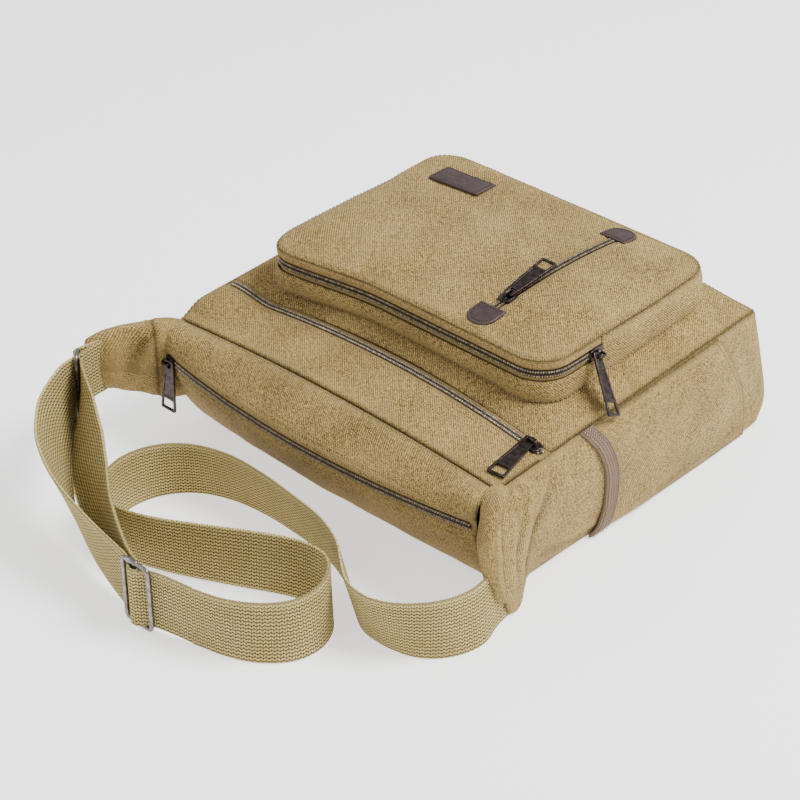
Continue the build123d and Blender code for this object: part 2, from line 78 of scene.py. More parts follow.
def front_z(x, y):
    """Height of the front's outer face."""
    return FRONT_TOP[1] + (y - FRONT_TOP[0]) * tan(FRONT_SLOPE) + crown(x) / cos(FRONT_SLOPE)


def ease(t):
    """Smooth step from 0 to 1."""
    t = np.clip(t, 0, 1)
    return t * t * (3 - 2 * t)


def settle(points):
    """The bag's stuffing lifts the left end of its front."""
    p = np.array(points, float)
    x, y = p[..., 0], p[..., 1]
    p[..., 2] += 9.5 * ease((-120 - x) / 44) * ease((y + 154) / 26) * ease((95 - y) / 80)
    return p


# ---------------------------------------------------------------- curves and grids
def resample(points, count):
    p = np.asarray(points, float)
    s = distances(p)
    t = np.linspace(0, s[-1], count)
    return np.stack([np.interp(t, s, p[:, k]) for k in range(p.shape[1])], 1)


def smooth_line(points, count):
    """Catmull-Rom curve through the points, evenly sampled."""
    p = np.asarray(points, float)
    p = np.vstack([2 * p[0] - p[1], p, 2 * p[-1] - p[-2]])
    t = np.linspace(0, 1, 20, endpoint=False)[:, None]
    parts = []
    for a, b, c, d in zip(p, p[1:], p[2:], p[3:]):
        parts.append(0.5 * (2 * b + (c - a) * t + (2 * a - 5 * b + 4 * c - d) * t**2 + (3 * b - a - 3 * c + d) * t**3))
    parts.append(p[-2][None])
    return resample(np.vstack(parts), count)


def coons(south, north, west, east):
    """Surface grid over four boundary curves: rows run from south to north, columns from west to east."""
    u = np.linspace(0, 1, len(south))[None, :, None]
    v = np.linspace(0, 1, len(west))[:, None, None]
    ruled = (1 - v) * south[None] + v * north[None] + (1 - u) * west[:, None] + u * east[:, None]
    flat = (1 - u) * (1 - v) * south[0] + u * (1 - v) * south[-1] + (1 - u) * v * north[0] + u * v * north[-1]
    return ruled - flat


def grid_normals(grid):
    du, dv = np.gradient(grid, axis=1), np.gradient(grid, axis=0)
    n = np.cross(du, dv)
    return n / np.maximum(np.linalg.norm(n, axis=2, keepdims=True), 1e-9)


def arc_lengths(grid):
    """Length along each row and along each column, in millimetres."""
    along = np.linalg.norm(np.diff(grid, axis=1), axis=2)
    up = np.linalg.norm(np.diff(grid, axis=0), axis=2)
    along = np.concatenate([np.zeros((grid.shape[0], 1)), np.cumsum(along, axis=1)], axis=1)
    up = np.concatenate([np.zeros((1, grid.shape[1])), np.cumsum(up, axis=0)], axis=0)
    return along, up


def field(points, scale, seed):
    """Smooth noise from -1 to 1 at each point."""
    flat = points.reshape(-1, 3) / scale
    shift = Vector((seed * 7.13, seed * 3.71, seed * 1.97))
    values = [noise.noise(Vector(p) + shift) for p in flat]
    return np.array(values).reshape(points.shape[:-1])


def fold_field(points, folds):
    """Creases and folds: each is (line through space, height, width)."""
    total = np.zeros(points.shape[:-1])
    for line, height, width in folds:
        line = smooth_line(line, 30)
        nearest = np.full(points.shape[:-1], 1e9)
        fade = np.zeros(points.shape[:-1])
        for i, p in enumerate(line):
            d = np.linalg.norm(points - p, axis=-1)
            closer = d < nearest
            nearest = np.where(closer, d, nearest)
            fade = np.where(closer, sin(pi * (i + 0.5) / len(line)) ** 0.6, fade)
        total += height * fade * np.exp(-((nearest / width) ** 1.3))
    return total


# ---------------------------------------------------------------- meshes
def new_mesh(name, verts, faces, uvs=None, attributes=None):
    """A mesh object from millimetre points, with its UVs in millimetres and one float attribute per name."""
    mesh = bpy.data.meshes.new(name)
    verts = np.asarray(verts, float) * MM
    mesh.from_pydata([tuple(v) for v in verts], [], [tuple(int(i) for i in f) for f in faces])
    if uvs is not None:
        layer = mesh.uv_layers.new(name="UVMap")
        loops = np.zeros(len(mesh.loops), int)
        mesh.loops.foreach_get("vertex_index", loops)
        layer.data.foreach_set("uv", np.asarray(uvs, float)[loops].ravel())
    for key, values in (attributes or {}).items():
        attribute = mesh.attributes.new(key, "FLOAT", "POINT")
        attribute.data.foreach_set("value", np.asarray(values, np.float32).ravel())
    mesh.polygons.foreach_set("use_smooth", [True] * len(mesh.polygons))
    mesh.update()
    obj = bpy.data.objects.new(name, mesh)
    bpy.context.scene.collection.objects.link(obj)
    return obj


def grid_faces(rows, columns, closed=False, offset=0):
    faces = []
    span = columns if closed else columns - 1
    for j in range(rows - 1):
        for i in range(span):
            k = (i + 1) % columns
            faces.append((offset + j * columns + i, offset + j * columns + k,
                          offset + (j + 1) * columns + k, offset + (j + 1) * columns + i))
    return faces


def finish_piece(obj, material, replaced=(), body="bag"):
    obj.data.materials.clear()
    obj.data.materials.append(material)
    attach(obj, body)
    if replaced:
        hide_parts(*replaced)
    return obj


def thicken(obj, thickness, offset=-1.0, levels=1):
    solid = obj.modifiers.new("cloth thickness", "SOLIDIFY")
    solid.thickness = thickness * MM
    solid.offset = offset
    if levels:
        sub = obj.modifiers.new("smooth", "SUBSURF")
        sub.levels = sub.render_levels = levels
    return obj


class Panel:
    """One cloth panel: a grid puffed between its seams, with puckers, creases and the wear that they cause, a painted
    highlight on fold ridges and painted shade in the valleys.
    """

    def __init__(self, grid, puff=0.0, roll=1.3, relief=0.8, seed=1, seams="nsew", folds=(), flat=None):
        base = np.asarray(grid, float)
        along, up = arc_lengths(base)
        self.along, self.up = along, up
        sides = {"w": along, "e": along[:, -1:] - along, "s": up, "n": up[-1:, :] - up}
        u = along / np.maximum(along[:, -1:], 1e-6)
        v = up / np.maximum(up[-1:, :], 1e-6)
        normal = grid_normals(base)
        nearest = np.minimum.reduce([sides[k] for k in "nsew"])
        seam = np.minimum.reduce([sides[k] for k in seams]) if seams else np.full(nearest.shape, 99.0)
        hold = 1 - np.exp(-nearest / 6.0)
        shape = np.clip(1 - (2 * u - 1) ** 2, 0, 1) ** 0.8 * np.clip(1 - (2 * v - 1) ** 2, 0, 1) ** 0.8
        big = field(base, 62.0, seed)
        mid = field(base, 24.0, seed + 5)
        crease = 1 - np.abs(field(base * np.array([1.0, 0.7, 1.0]), 34.0, seed + 9)) * 5.0
        crease = np.clip(crease, 0, 1) ** 2
        pucker = np.zeros(base.shape[:2])
        for index, key in enumerate(seams):
            distance = sides[key]
            run = up if key in "we" else along
            wave = field(np.stack([run, np.full(run.shape, 40.0 * index), np.zeros(run.shape)], -1), 8.5, seed + 21)
            pucker += wave * (distance / 5.5) * np.exp(1 - distance / 5.5)
        bumps = relief * (1.3 * big + 0.6 * mid + 0.22 * crease * hold) + 0.75 * relief * pucker
        folded = fold_field(base, folds) if folds else np.zeros(base.shape[:2])
        lift = puff * shape + roll * (1 - np.exp(-seam / 3.2)) + bumps * hold + folded * hold
        if flat is not None:
            lift = lift * flat(u, v)
        self.grid = base + normal * lift[..., None]
        self.normals = grid_normals(self.grid)
        # wear: faded cloth on seam crests, puckers and creases, and on fold ridges partly a painted highlight. dark:
        # darker along the seams, plus painted shade in pucker and fold valleys.
        crest = np.exp(-(((seam - 4.5) / 3.0) ** 2))
        self.wear = np.clip(0.65 * crest + 0.1 * np.clip(crease * hold, 0, 1) * relief
                            + 0.3 * np.clip(pucker, 0, 1) + 0.7 * np.clip(folded / 2.2, 0, 1), 0, 1)
        self.dark = np.clip(np.exp(-seam / 1.6) + 0.3 * np.clip(-pucker, 0, 1)
                            + 0.75 * np.clip(-folded / 2.0, 0, 1), 0, 1)

    def build(self, name, thickness=1.8, turn=0.0, levels=1):
        rows, columns = self.grid.shape[:2]
        c, s = cos(turn), sin(turn)
        uv = np.stack([c * self.along - s * self.up, s * self.along + c * self.up], -1).reshape(-1, 2)
        obj = new_mesh(name, self.grid.reshape(-1, 3), grid_faces(rows, columns), uv,
                       {"wear": self.wear, "dark": self.dark})
        return thicken(obj, thickness, levels=levels)

    def line(self, side, inset, start=0.0, end=1.0, lift=0.1):
        """Points and normals along one side of the panel, inset from it."""
        grid, normals = self.grid, self.normals
        if side in "we":
            grid, normals = grid.transpose(1, 0, 2), normals.transpose(1, 0, 2)
        if side in "ne":
            grid, normals = grid[::-1], normals[::-1]
        count = grid.shape[1]
        points, ups = [], []
        for i in range(int(start * (count - 1)), int(end * (count - 1)) + 1):
            column = grid[:, i]
            s = distances(column)
            k = min(int(np.searchsorted(s, inset)), len(s) - 1)
            t = (inset - s[k - 1]) / max(s[k] - s[k - 1], 1e-6) if k else 0.0
            points.append(column[k - 1] * (1 - t) + column[k] * t)
            ups.append(normals[k, i])
        points, ups = np.array(points), np.array(ups)
        return points + ups * lift, ups


STITCHES = {"verts": [], "faces": []}


def stitch(points, ups, length=2.9, gap=1.1, radius=0.34, store=STITCHES):
    """A row of thread stitches along a line: short rounded beads that dip into the cloth at both ends."""
    points, ups = np.asarray(points, float), np.asarray(ups, float)
    s = distances(points)
    shares = np.array([0.0, 0.18, 0.5, 0.82, 1.0])
    sizes = np.array([0.35, 0.95, 1.05, 0.95, 0.35]) * radius
    heights = np.array([-0.34, 0.1, 0.2, 0.1, -0.34])
    at = 0.6
    while at + length < s[-1]:
        where = at + shares * length
        centre = np.stack([np.interp(where, s, points[:, k]) for k in range(3)], 1)
        up = np.stack([np.interp(where, s, ups[:, k]) for k in range(3)], 1)
        up /= np.linalg.norm(up, axis=1, keepdims=True)
        forward = centre[-1] - centre[0]
        side = np.cross(up, forward)
        side /= np.maximum(np.linalg.norm(side, axis=1, keepdims=True), 1e-9)
        centre = centre + up * heights[:, None]
        base = len(store["verts"])
        for k in range(5):
            for a in range(5):
                angle = 2 * pi * a / 5 + 0.3
                store["verts"].append(centre[k] + sizes[k] * (side[k] * cos(angle) + up[k] * sin(angle)))
        store["faces"] += grid_faces(5, 5, closed=True, offset=base)
        store["faces"] += [tuple(base + a for a in reversed(range(5))), tuple(base + 20 + a for a in range(5))]
        at += length + gap


def loft(sections, ring=44):
    """Closed tube through (centre, half height, half thickness, facing angle) sections, more square than round."""
    rows = []
    for centre, tall, thick, facing in sections:
        angles = np.linspace(0, 2 * pi, ring, endpoint=False)
        c, s = np.cos(angles), np.sin(angles)
        wide = np.sign(c) * np.abs(c) ** 0.8 * thick
        high = np.sign(s) * np.abs(s) ** 0.62 * tall
        across = np.array([cos(facing), sin(facing), 0.0])
        rows.append(np.asarray(centre, float) + wide[:, None] * across + high[:, None] * np.array([0, 0, 1.0]))
    return np.array(rows)


def smooth_sections(stations, count):
    """Sections for loft() from stations (x, y, low z, high z, thickness), with the tube's heading worked out."""
    s = smooth_line(np.array(stations, float), count)
    sections = []
    heading = np.gradient(s[:, :2], axis=0)
    for row, (hx, hy) in zip(s, heading):
        facing = atan2(hy, hx) + pi / 2
        centre = (row[0], row[1], (row[2] + row[3]) / 2)
        sections.append((centre, (row[3] - row[2]) / 2, row[4] / 2, facing))
    return sections


def tube_piece(name, rows, folds=(), relief=0.8, seed=3, seam=None):
    """A soft closed tube from loft() rows, with noise, folds and a seam round it at one row."""
    length, ring = rows.shape[:2]
    wrapped = np.concatenate([rows, rows[:, :1]], axis=1)
    normal = grid_normals(wrapped)[:, :-1]
    centre = rows.mean(axis=1, keepdims=True)
    outward = np.sign(np.sum(normal * (rows - centre), axis=2).mean())
    normal = normal * outward
    lift = relief * (1.2 * field(rows, 30.0, seed) + 0.6 * field(rows, 13.0, seed + 4))
    folded = fold_field(rows, folds) if folds else np.zeros(rows.shape[:2])
    seam_row = seam if seam is not None else -99
    groove = np.exp(-(((np.arange(length) - seam_row) / 0.75) ** 2))[:, None] * np.ones((1, ring))
    grid = rows + normal * (lift + folded - 1.1 * groove)[..., None]
    if seam is not None:
        stitch(grid[seam + 2], normal[seam + 2], 2.6, 1.1)
    along, up = arc_lengths(np.concatenate([grid, grid[:, :1]], axis=1))
    uv = np.stack([up[:, :-1], along[:, :-1]], -1).reshape(-1, 2)
    faces = grid_faces(length, ring, closed=True)
    if outward < 0:
        faces = [tuple(reversed(f)) for f in faces]
    verts = grid.reshape(-1, 3)
    verts = np.vstack([verts, grid[0].mean(0), grid[-1].mean(0)])
    uv = np.vstack([uv, [0, 0], [0, 0]])
    first, last = len(verts) - 2, len(verts) - 1
    for i in range(ring):
        k = (i + 1) % ring
        a, b = (first, i, k), (last, (length - 1) * ring + k, (length - 1) * ring + i)
        faces += [tuple(reversed(a)), tuple(reversed(b))] if outward > 0 else [a, b]
    extra = 2
    wear = np.concatenate([np.clip(0.25 + 0.4 * folded / 2.0 + 0.3 * lift, 0, 1).ravel(), np.zeros(extra)])
    # dark is painted shade in the fold valleys and in the groove of the seam.
    dark = np.concatenate([np.clip(np.clip(-folded / 4.5, 0, 0.45) + groove, 0, 1).ravel(), np.zeros(extra)])
    obj = new_mesh(name, verts, faces, uv, {"wear": wear, "dark": dark})
    sub = obj.modifiers.new("smooth", "SUBSURF")
    sub.levels = sub.render_levels = 1
    return obj


# ---------------------------------------------------------------- materials
class Nodes:
    """A small helper to write node trees as expressions."""

    def __init__(self, name):
        self.material = bpy.data.materials.new(name)
        self.material.use_nodes = True
        self.tree = self.material.node_tree
        self.shader = self.tree.nodes["Principled BSDF"]

    def node(self, kind, **settings):
        item = self.tree.nodes.new(kind)
        for key, value in settings.items():
            setattr(item, key, value)
        return item

    def link(self, source, target):
        self.tree.links.new(source, target)

    def feed(self, socket, value):
        if isinstance(value, bpy.types.NodeSocket):
            self.link(value, socket)
        else:
            socket.default_value = value

    def math(self, operation, a, b=0.0, c=0.0):
        item = self.node("ShaderNodeMath", operation=operation)
        for socket, value in zip(item.inputs, (a, b, c)):
            self.feed(socket, value)
        return item.outputs[0]

    def weighted(self, value, zero, weight):
        """How far a value is above zero, times a weight."""
        return self.math("MULTIPLY", self.math("SUBTRACT", value, zero), weight)

    def uv(self):
        item = self.node("ShaderNodeUVMap", uv_map="UVMap")
        split = self.node("ShaderNodeSeparateXYZ")
        self.link(item.outputs[0], split.inputs[0])
        return item.outputs[0], split.outputs[0], split.outputs[1]

    def place(self):
        return self.node("ShaderNodeTexCoord").outputs["Object"]

    def scaled(self, vector, factors):
        item = self.node("ShaderNodeVectorMath", operation="MULTIPLY")
        self.link(vector, item.inputs[0])
        item.inputs[1].default_value = factors
        return item.outputs[0]

    def noise(self, vector, scale, detail=3.0, roughness=0.55):
        item = self.node("ShaderNodeTexNoise")
        self.link(vector, item.inputs["Vector"])
        item.inputs["Scale"].default_value = scale
        item.inputs["Detail"].default_value = detail
        item.inputs["Roughness"].default_value = roughness
        return item.outputs[0]

    def ramp(self, value, stops):
        item = self.node("ShaderNodeValToRGB")
        self.link(value, item.inputs[0])
        elements = item.color_ramp.elements
        while len(elements) < len(stops):
            elements.new(0.5)
        for element, (position, colour) in zip(elements, stops):
            element.position = position
            element.color = (*colour, 1.0)
        return item.outputs[0]

    def mix(self, share, a, b, blend="MIX"):
        item = self.node("ShaderNodeMix", data_type="RGBA", blend_type=blend)
        self.feed(item.inputs[0], share)
        for socket, value in ((item.inputs[6], a), (item.inputs[7], b)):
            self.feed(socket, value if isinstance(value, bpy.types.NodeSocket) else (*value, 1.0))
        return item.outputs[2]

    def attribute(self, name):
        return self.node("ShaderNodeAttribute", attribute_name=name).outputs["Fac"]

    def bump(self, height, strength, distance, below=None):
        item = self.node("ShaderNodeBump")
        item.inputs["Strength"].default_value = strength
        item.inputs["Distance"].default_value = distance
        self.link(height, item.inputs["Height"])
        if below is not None:
            self.link(below, item.inputs["Normal"])
        return item.outputs[0]

    def finish(self, colour, roughness, normal=None, **settings):
        self.feed(self.shader.inputs["Base Color"], colour)
        self.feed(self.shader.inputs["Roughness"], roughness)
        if normal is not None:
            self.link(normal, self.shader.inputs["Normal"])
        for key, value in settings.items():
            self.shader.inputs[key].default_value = value
        return self.material


def waves(n, phase, sharp=1.0):
    """A row of rounded ribs, from 0 to 1, one per unit of phase."""
    rib = n.math("ABSOLUTE", n.math("SINE", n.math("MULTIPLY", phase, pi)))
    return n.math("POWER", rib, sharp)


CLOTH_SHEEN = {"Sheen Weight": 0.05, "Sheen Roughness": 0.5, "Specular IOR Level": 0.15}


def canvas_material(name, colour, faded, shade, mottle=1.0, twill=1.0):
    """Washed twill canvas: yarns and diagonals in the cloth's own frame, fading in the object's."""
    n = Nodes(name)
    uv, u, v = n.uv()
    place = n.place()
    clouds = n.noise(place, 22.0, 5.0, 0.62)
    fine = n.noise(place, 260.0, 4.0, 0.7)
    warp = n.noise(n.scaled(uv, (1.3, 0.22, 1.0)), 1.0, 3.0, 0.7)
    weft = n.noise(n.scaled(uv, (0.22, 1.3, 1.0)), 1.0, 3.0, 0.7)
    specks = n.noise(n.scaled(uv, (1.05, 1.05, 1.0)), 1.0, 3.0, 0.8)
    diagonal = n.math("MULTIPLY", n.math("ADD", u, v), 1 / 2.3)
    ribs = waves(n, diagonal, 0.8)
    total = n.weighted(clouds, 0.5, 1.1 * mottle)
    for value, zero, weight in ((fine, 0.5, 0.2 * mottle), (specks, 0.5, 4.6 * mottle),
                                (n.math("ADD", warp, weft), 1.0, 3.0), (ribs, 0.6, twill)):
        total = n.math("ADD", total, n.weighted(value, zero, weight))
    share = n.math("ADD", total, 0.5)
    flecks = tuple(min(1, c * 1.5) for c in faded)
    tone = n.ramp(share, [(0.0, shade), (0.5, colour), (0.85, faded), (1.0, flecks)])
    pick_u, pick_v = waves(n, n.math("MULTIPLY", u, 1 / 1.1)), waves(n, n.math("MULTIPLY", v, 1 / 1.1))
    # wear fades the cloth toward its faded colour, on fold ridges and wrinkle tops partly as a painted highlight; dark
    # mixes in painted shade for crease, pucker and fold valleys and seam grooves.
    tone = n.mix(n.math("MULTIPLY", n.attribute("wear"), 0.5), tone, tuple(min(1, c * 1.15) for c in faded))
    tone = n.mix(n.math("MULTIPLY", n.attribute("dark"), 0.7), tone, tuple(c * 0.36 for c in shade))
    weave = n.math("ADD", n.math("MULTIPLY", pick_u, pick_v), n.math("MULTIPLY", ribs, 0.8 * twill))
    normal = n.bump(weave, 0.6, 0.0004)
    normal = n.bump(specks, 0.3, 0.0007, normal)
    roughness = n.math("ADD", n.math("MULTIPLY", fine, 0.12), 0.86)
    return n.finish(tone, roughness, normal, **CLOTH_SHEEN)


def webbing_material(name, colour, light, shade, column=3.6, pitch=2.5, slope=0.62, depth=0.0007, lengthways=False):
    """Heavy webbing: zigzag ribs, in columns along it or in rows that run lengthways."""
    n = Nodes(name)
    uv, u, v = n.uv()
    across, run = (v, u) if not lengthways else (u, v)
    zigzag = n.math("PINGPONG", across, column)
    phase = n.math("MULTIPLY", n.math("ADD", run, n.math("MULTIPLY", zigzag, slope)), 1 / pitch)
    ribs = waves(n, phase, 0.9)
    columns = waves(n, n.math("MULTIPLY", across, 1 / column), 0.3)
    height = n.math("MULTIPLY", ribs, columns)
    place = n.place()
    clouds = n.noise(place, 30.0, 3.0)
    fine = n.noise(place, 700.0, 3.0)
    tone = n.mix(n.math("MULTIPLY", n.math("SUBTRACT", clouds, 0.32), 1.3), colour, light)
    tone = n.mix(n.math("MULTIPLY", n.math("SUBTRACT", fine, 0.4), 1.0), tone, shade)
    # Painted shade: the weave's hollows are darkened toward the shade colour.
    tone = n.mix(n.math("MULTIPLY", n.math("SUBTRACT", 1.0, height), 1.25), tone, shade)
    # Painted shade: where the dark attribute is set, on the zip tape between its coil rows, the tape goes near black.
    tone = n.mix(n.math("MULTIPLY", n.attribute("dark"), 0.92), tone, (0.012, 0.007, 0.003))
    tone = n.mix(n.math("MULTIPLY", n.attribute("wear"), 0.2), tone, light)
    normal = n.bump(height, 0.9, depth)
    normal = n.bump(fine, 0.3, 0.0005, normal)
    return n.finish(tone, 0.86, normal, **CLOTH_SHEEN)


def leather_material(name, colour, worn):
    n = Nodes(name)
    place = n.place()
    cells = n.node("ShaderNodeTexVoronoi", feature="DISTANCE_TO_EDGE")
    n.link(place, cells.inputs["Vector"])
    cells.inputs["Scale"].default_value = 900.0
    clouds = n.noise(place, 120.0, 4.0)
    grain = n.noise(place, 1600.0, 3.0)
    tone = n.mix(n.math("MULTIPLY", n.math("SUBTRACT", clouds, 0.35), 1.4), colour, worn)
    tone = n.mix(n.math("MULTIPLY", n.attribute("wear"), 0.8), tone, worn)
    normal = n.bump(cells.outputs["Distance"], 0.5, 0.0004)
    normal = n.bump(grain, 0.4, 0.0003, normal)
    roughness = n.math("ADD", n.math("MULTIPLY", clouds, 0.25), 0.36)
    return n.finish(tone, roughness, normal, **{"Specular IOR Level": 0.45})


def gunmetal_material(name, dark, worn):
    n = Nodes(name)
    place = n.place()
    clouds = n.noise(place, 240.0, 4.0)
    scratches = n.noise(n.scaled(place, (1.0, 1.0, 6.0)), 900.0, 3.0)
    tone = n.ramp(clouds, [(0.3, dark), (0.7, worn)])
    roughness = n.math("ADD", n.math("MULTIPLY", scratches, 0.25), 0.22)
    return n.finish(tone, roughness, n.bump(scratches, 0.15, 0.0002), Metallic=1.0)


def coil_material(name, colour, light):
    n = Nodes(name)
    place = n.place()
    clouds = n.noise(place, 500.0, 3.0)
    # Painted highlight: the light colour, scattered by noise, stands in for glints on the teeth.
    tone = n.mix(n.math("MULTIPLY", n.math("SUBTRACT", clouds, 0.4), 3.0), colour, light)
    # Painted shade at the teeth's ends, near black.
    tone = n.mix(n.attribute("dark"), tone, (0.012, 0.008, 0.005))
    return n.finish(tone, n.math("ADD", n.math("MULTIPLY", clouds, 0.2), 0.25), n.bump(clouds, 0.2, 0.0002))


def thread_material(name, colour):
    n = Nodes(name)
    fine = n.noise(n.place(), 1500.0, 2.0)
    tone = n.mix(fine, colour, tuple(c * 0.6 for c in colour))
    return n.finish(tone, 0.7, n.bump(fine, 0.4, 0.0003))


# SHADE is the mottle's darkest tone; at 0.36 of it, it is also the painted shade that the dark attribute mixes in.
KHAKI, FADED, SHADE = (0.186, 0.121, 0.036), (0.338, 0.24, 0.089), (0.078, 0.05, 0.0145)
canvas = canvas_material("washed_canvas", KHAKI, FADED, SHADE)
band_canvas = canvas_material("plain_canvas", (0.24, 0.152, 0.048), (0.33, 0.225, 0.085),
                              (0.14, 0.085, 0.024), 0.5, 0.5)
lining_cloth = canvas_material("lining_cloth", (0.12, 0.085, 0.04), (0.17, 0.12, 0.06), (0.06, 0.04, 0.02))
# The last colour of each webbing is also the painted shade in its weave's hollows.
webbing = webbing_material("chevron_webbing", (0.75, 0.575, 0.2), (0.93, 0.77, 0.35), (0.066, 0.042, 0.008),
                           1.9, 3.0, 0.8, 0.0014, True)
pocket_tape = webbing_material("herringbone_tape", (0.3, 0.195, 0.135), (0.46, 0.34, 0.26), (0.06, 0.036, 0.022),
                               2.6, 2.0, 0.9, 0.0008)
zip_tape = webbing_material("zip_tape", (0.36, 0.25, 0.1), (0.47, 0.345, 0.155),
                            (0.17, 0.11, 0.035), 1.6, 0.9, 0.7, 0.0002)
leather = leather_material("dark_leather", (0.022, 0.011, 0.011), (0.07, 0.04, 0.038))
gunmetal = gunmetal_material("gunmetal", (0.028, 0.02, 0.019), (0.085, 0.066, 0.062))
worn_gunmetal = gunmetal_material("worn_gunmetal", (0.11, 0.093, 0.088), (0.34, 0.31, 0.3))
# The coils' light colours are painted highlights.
dark_coil_painted_light = coil_material("dark_coil_painted_light", (0.15, 0.1, 0.055), (0.6, 0.47, 0.29))
brown_coil = coil_material("brown_coil_painted_light", (0.17, 0.12, 0.07), (0.66, 0.54, 0.36))
thread = thread_material("khaki_thread", (0.4, 0.28, 0.11))
dark_thread = thread_material("dark_thread", (0.07, 0.045, 0.04))

# ---------------------------------------------------------------- the bag's body
ACROSS = 86
xs = np.linspace(-SEAM_X, SEAM_X, ACROSS)
zeros = np.zeros(ACROSS)


def across(y, z):
    """A curve across the bag from y and z at each of the shared x stations."""
    return np.stack([xs, y + zeros, z + zeros], 1)


def straight(a, b, count):
    t = np.linspace(0, 1, count)[:, None]
    return np.asarray(a) * (1 - t) + np.asarray(b) * t


def slip_zip(offset):
    """The slip pocket's zip, or a line beside it on the front."""
    y = FRONT_ZIP_Y + bow_at(xs, HALF_WIDTH, FRONT_ZIP_BOW) + offset
    return across(y, front_z(xs, y))


def main_zip(offset):
    """The main zip, or a line above or below it on the top gusset."""
    bow = bow_at(xs, HALF_WIDTH, MAIN_ZIP_BOW)
    return across(MAIN_ZIP_END[0] - bow, MAIN_ZIP_END[1] + offset)


top_seam = across(FRONT_TOP[0], front_z(xs, FRONT_TOP[0]))
bottom_seam = across(FRONT_BOTTOM[0], front_z(xs, FRONT_BOTTOM[0]))
back_edge = across(-134.5, 1.2)
floor_edge = across(171.5, 1.2)


def between(south, north, rows):
    return coons(south, north, straight(south[0], north[0], rows), straight(south[-1], north[-1], rows))


def zip_flat(side):
    """Keeps a panel down beside the zip at its south or north side, so that the slider passes over it."""

    def factor(u, v):
        near = v if side == "s" else 1 - v
        return np.clip((near - 0.012) * 14, 0, 1)

    return factor


def swell_ends(grid, left, right, reach=30.0):
    """The top gusset's ends stand out, most of all in the middle of its width."""
    share = np.sin(np.linspace(0, pi, grid.shape[0]))[:, None] ** 1.25
    x = grid[..., 0]
    lift = share * (left * np.exp(-(((x + SEAM_X) / reach) ** 2)) + right * np.exp(-(((x - SEAM_X) / reach) ** 2)))
    return grid + lift[..., None] * np.stack([0.22 * np.sign(x), -0.72 + 0 * x, 0.66 + 0 * x], -1)


def edge_distance(x, y):
    """Distance inside the box pocket's rounded plan, in the pocket's frame."""
    qx = np.abs(x) - (POCKET_HALF - POCKET_CORNER)
    qy = np.abs(y - POCKET_LENGTH / 2) - (POCKET_LENGTH / 2 - POCKET_CORNER)
    outside = np.hypot(np.maximum(qx, 0), np.maximum(qy, 0)) + np.minimum(np.maximum(qx, qy), 0)
    return POCKET_CORNER - outside


def pocket_lift(x, y):
    """How far the full bag lifts its front round the box pocket."""
    beyond = np.maximum(-edge_distance(x, y - POCKET_Y), 0)
    return 7.0 * np.exp(-((beyond / 17) ** 2)) * ease((SEAM_X - np.abs(x)) / 20)


front_grid = settle(between(slip_zip(ZIP_EDGE), bottom_seam, 62))
front_grid[..., 2] += pocket_lift(front_grid[..., 0], front_grid[..., 1]) * ease((front_grid[..., 1] + 92) / 14)
front_upper = Panel(front_grid, 1.0, 1.2, 0.9, 2, "new", flat=zip_flat("s"))
front_strip = Panel(settle(between(top_seam, slip_zip(-ZIP_EDGE), 15)), 1.2, 1.1, 0.55, 3, "sew",
                    flat=zip_flat("n"))
top_front = Panel(swell_ends(between(main_zip(ZIP_EDGE), top_seam, 14), 13, 13), 2.4, 1.2, 1.0, 4, "new",
                  flat=zip_flat("s"))
top_back_grid = coons(back_edge, main_zip(-ZIP_EDGE),
                      smooth_line([back_edge[0], (-SEAM_X, -150, 24), main_zip(-ZIP_EDGE)[0]], 20),
                      smooth_line([back_edge[-1], (SEAM_X, -150, 24), main_zip(-ZIP_EDGE)[-1]], 20))
top_back_grid = swell_ends(top_back_grid, 2, 8)
top_back = Panel(top_back_grid, 5.0, 1.0, 1.0, 5, "sew", flat=zip_flat("n"))
bottom_grid = coons(bottom_seam, floor_edge,
                    smooth_line([bottom_seam[0], (-SEAM_X, 166, 72), (-SEAM_X, 179, 24), floor_edge[0]], 30),
                    smooth_line([bottom_seam[-1], (SEAM_X, 166, 72), (SEAM_X, 179, 24), floor_edge[-1]], 30))
bottom = Panel(bottom_grid, 3.0, 1.2, 1.1, 6)
back = Panel(between(floor_edge, back_edge, 60), 0.0, 0.0, 0.0, 7)

for panel, name, node, turn in (
    (front_upper, "front_panel_cloth", "front_panel_upper", 0.0),
    (front_strip, "front_strip_cloth", "front_panel_lower", 0.0),
    (top_front, "top_gusset_front_cloth", "top_band_front", 0.3),
    (top_back, "top_gusset_back_cloth", "top_band_back", 0.3),
    (bottom, "bottom_cloth", "bottom_panel", 0.0),
    (back, "back_cloth", "back_panel", 0.0),
):
    finish_piece(panel.build(name, turn=turn), canvas, [node])


def edge_profile(sign):
    """The gusset's four boundary curves, from the floor side to the front side. The right one flares into a flap."""
    x = sign * SEAM_X
    high = settle(straight((x, FRONT_BOTTOM[0], FRONT_BOTTOM[1]), (x, FRONT_TOP[0], FRONT_TOP[1]), 150))
    bottom_side = smooth_line([(x, 171.5, 1.2), (x, 179, 24), (x, 166, 72), (x, FRONT_BOTTOM[0], FRONT_BOTTOM[1])], 54)
    if sign < 0:
        low = straight((x, 171.5, 1.2), (x, -134.5, 1.2), 150)
        top_side = [(x, -134.5, 1.2), (x, -154, 30), (x, MAIN_ZIP_END[0], MAIN_ZIP_END[1]),
                    (x, FRONT_TOP[0], FRONT_TOP[1])]
    else:
        low = smooth_line([(x, 171.5, 1.2), (171, 100, 1.2), (170, 20, 1.2), (167, -60, 1.2), (166.5, -110, 1.2),
                           (174, -126, 1.2), (184, -140, 1.2), (189, -151, 1.2), (188.5, -160, 1.6)], 150)
        top_side = [(188.5, -160, 1.6), (190.5, -168, 22), (191, -172, 48), (189, -172, 74), (180, -164, 91),
                    (x, FRONT_TOP[0], FRONT_TOP[1])]
    return low, high, bottom_side, smooth_line(top_side, 54)


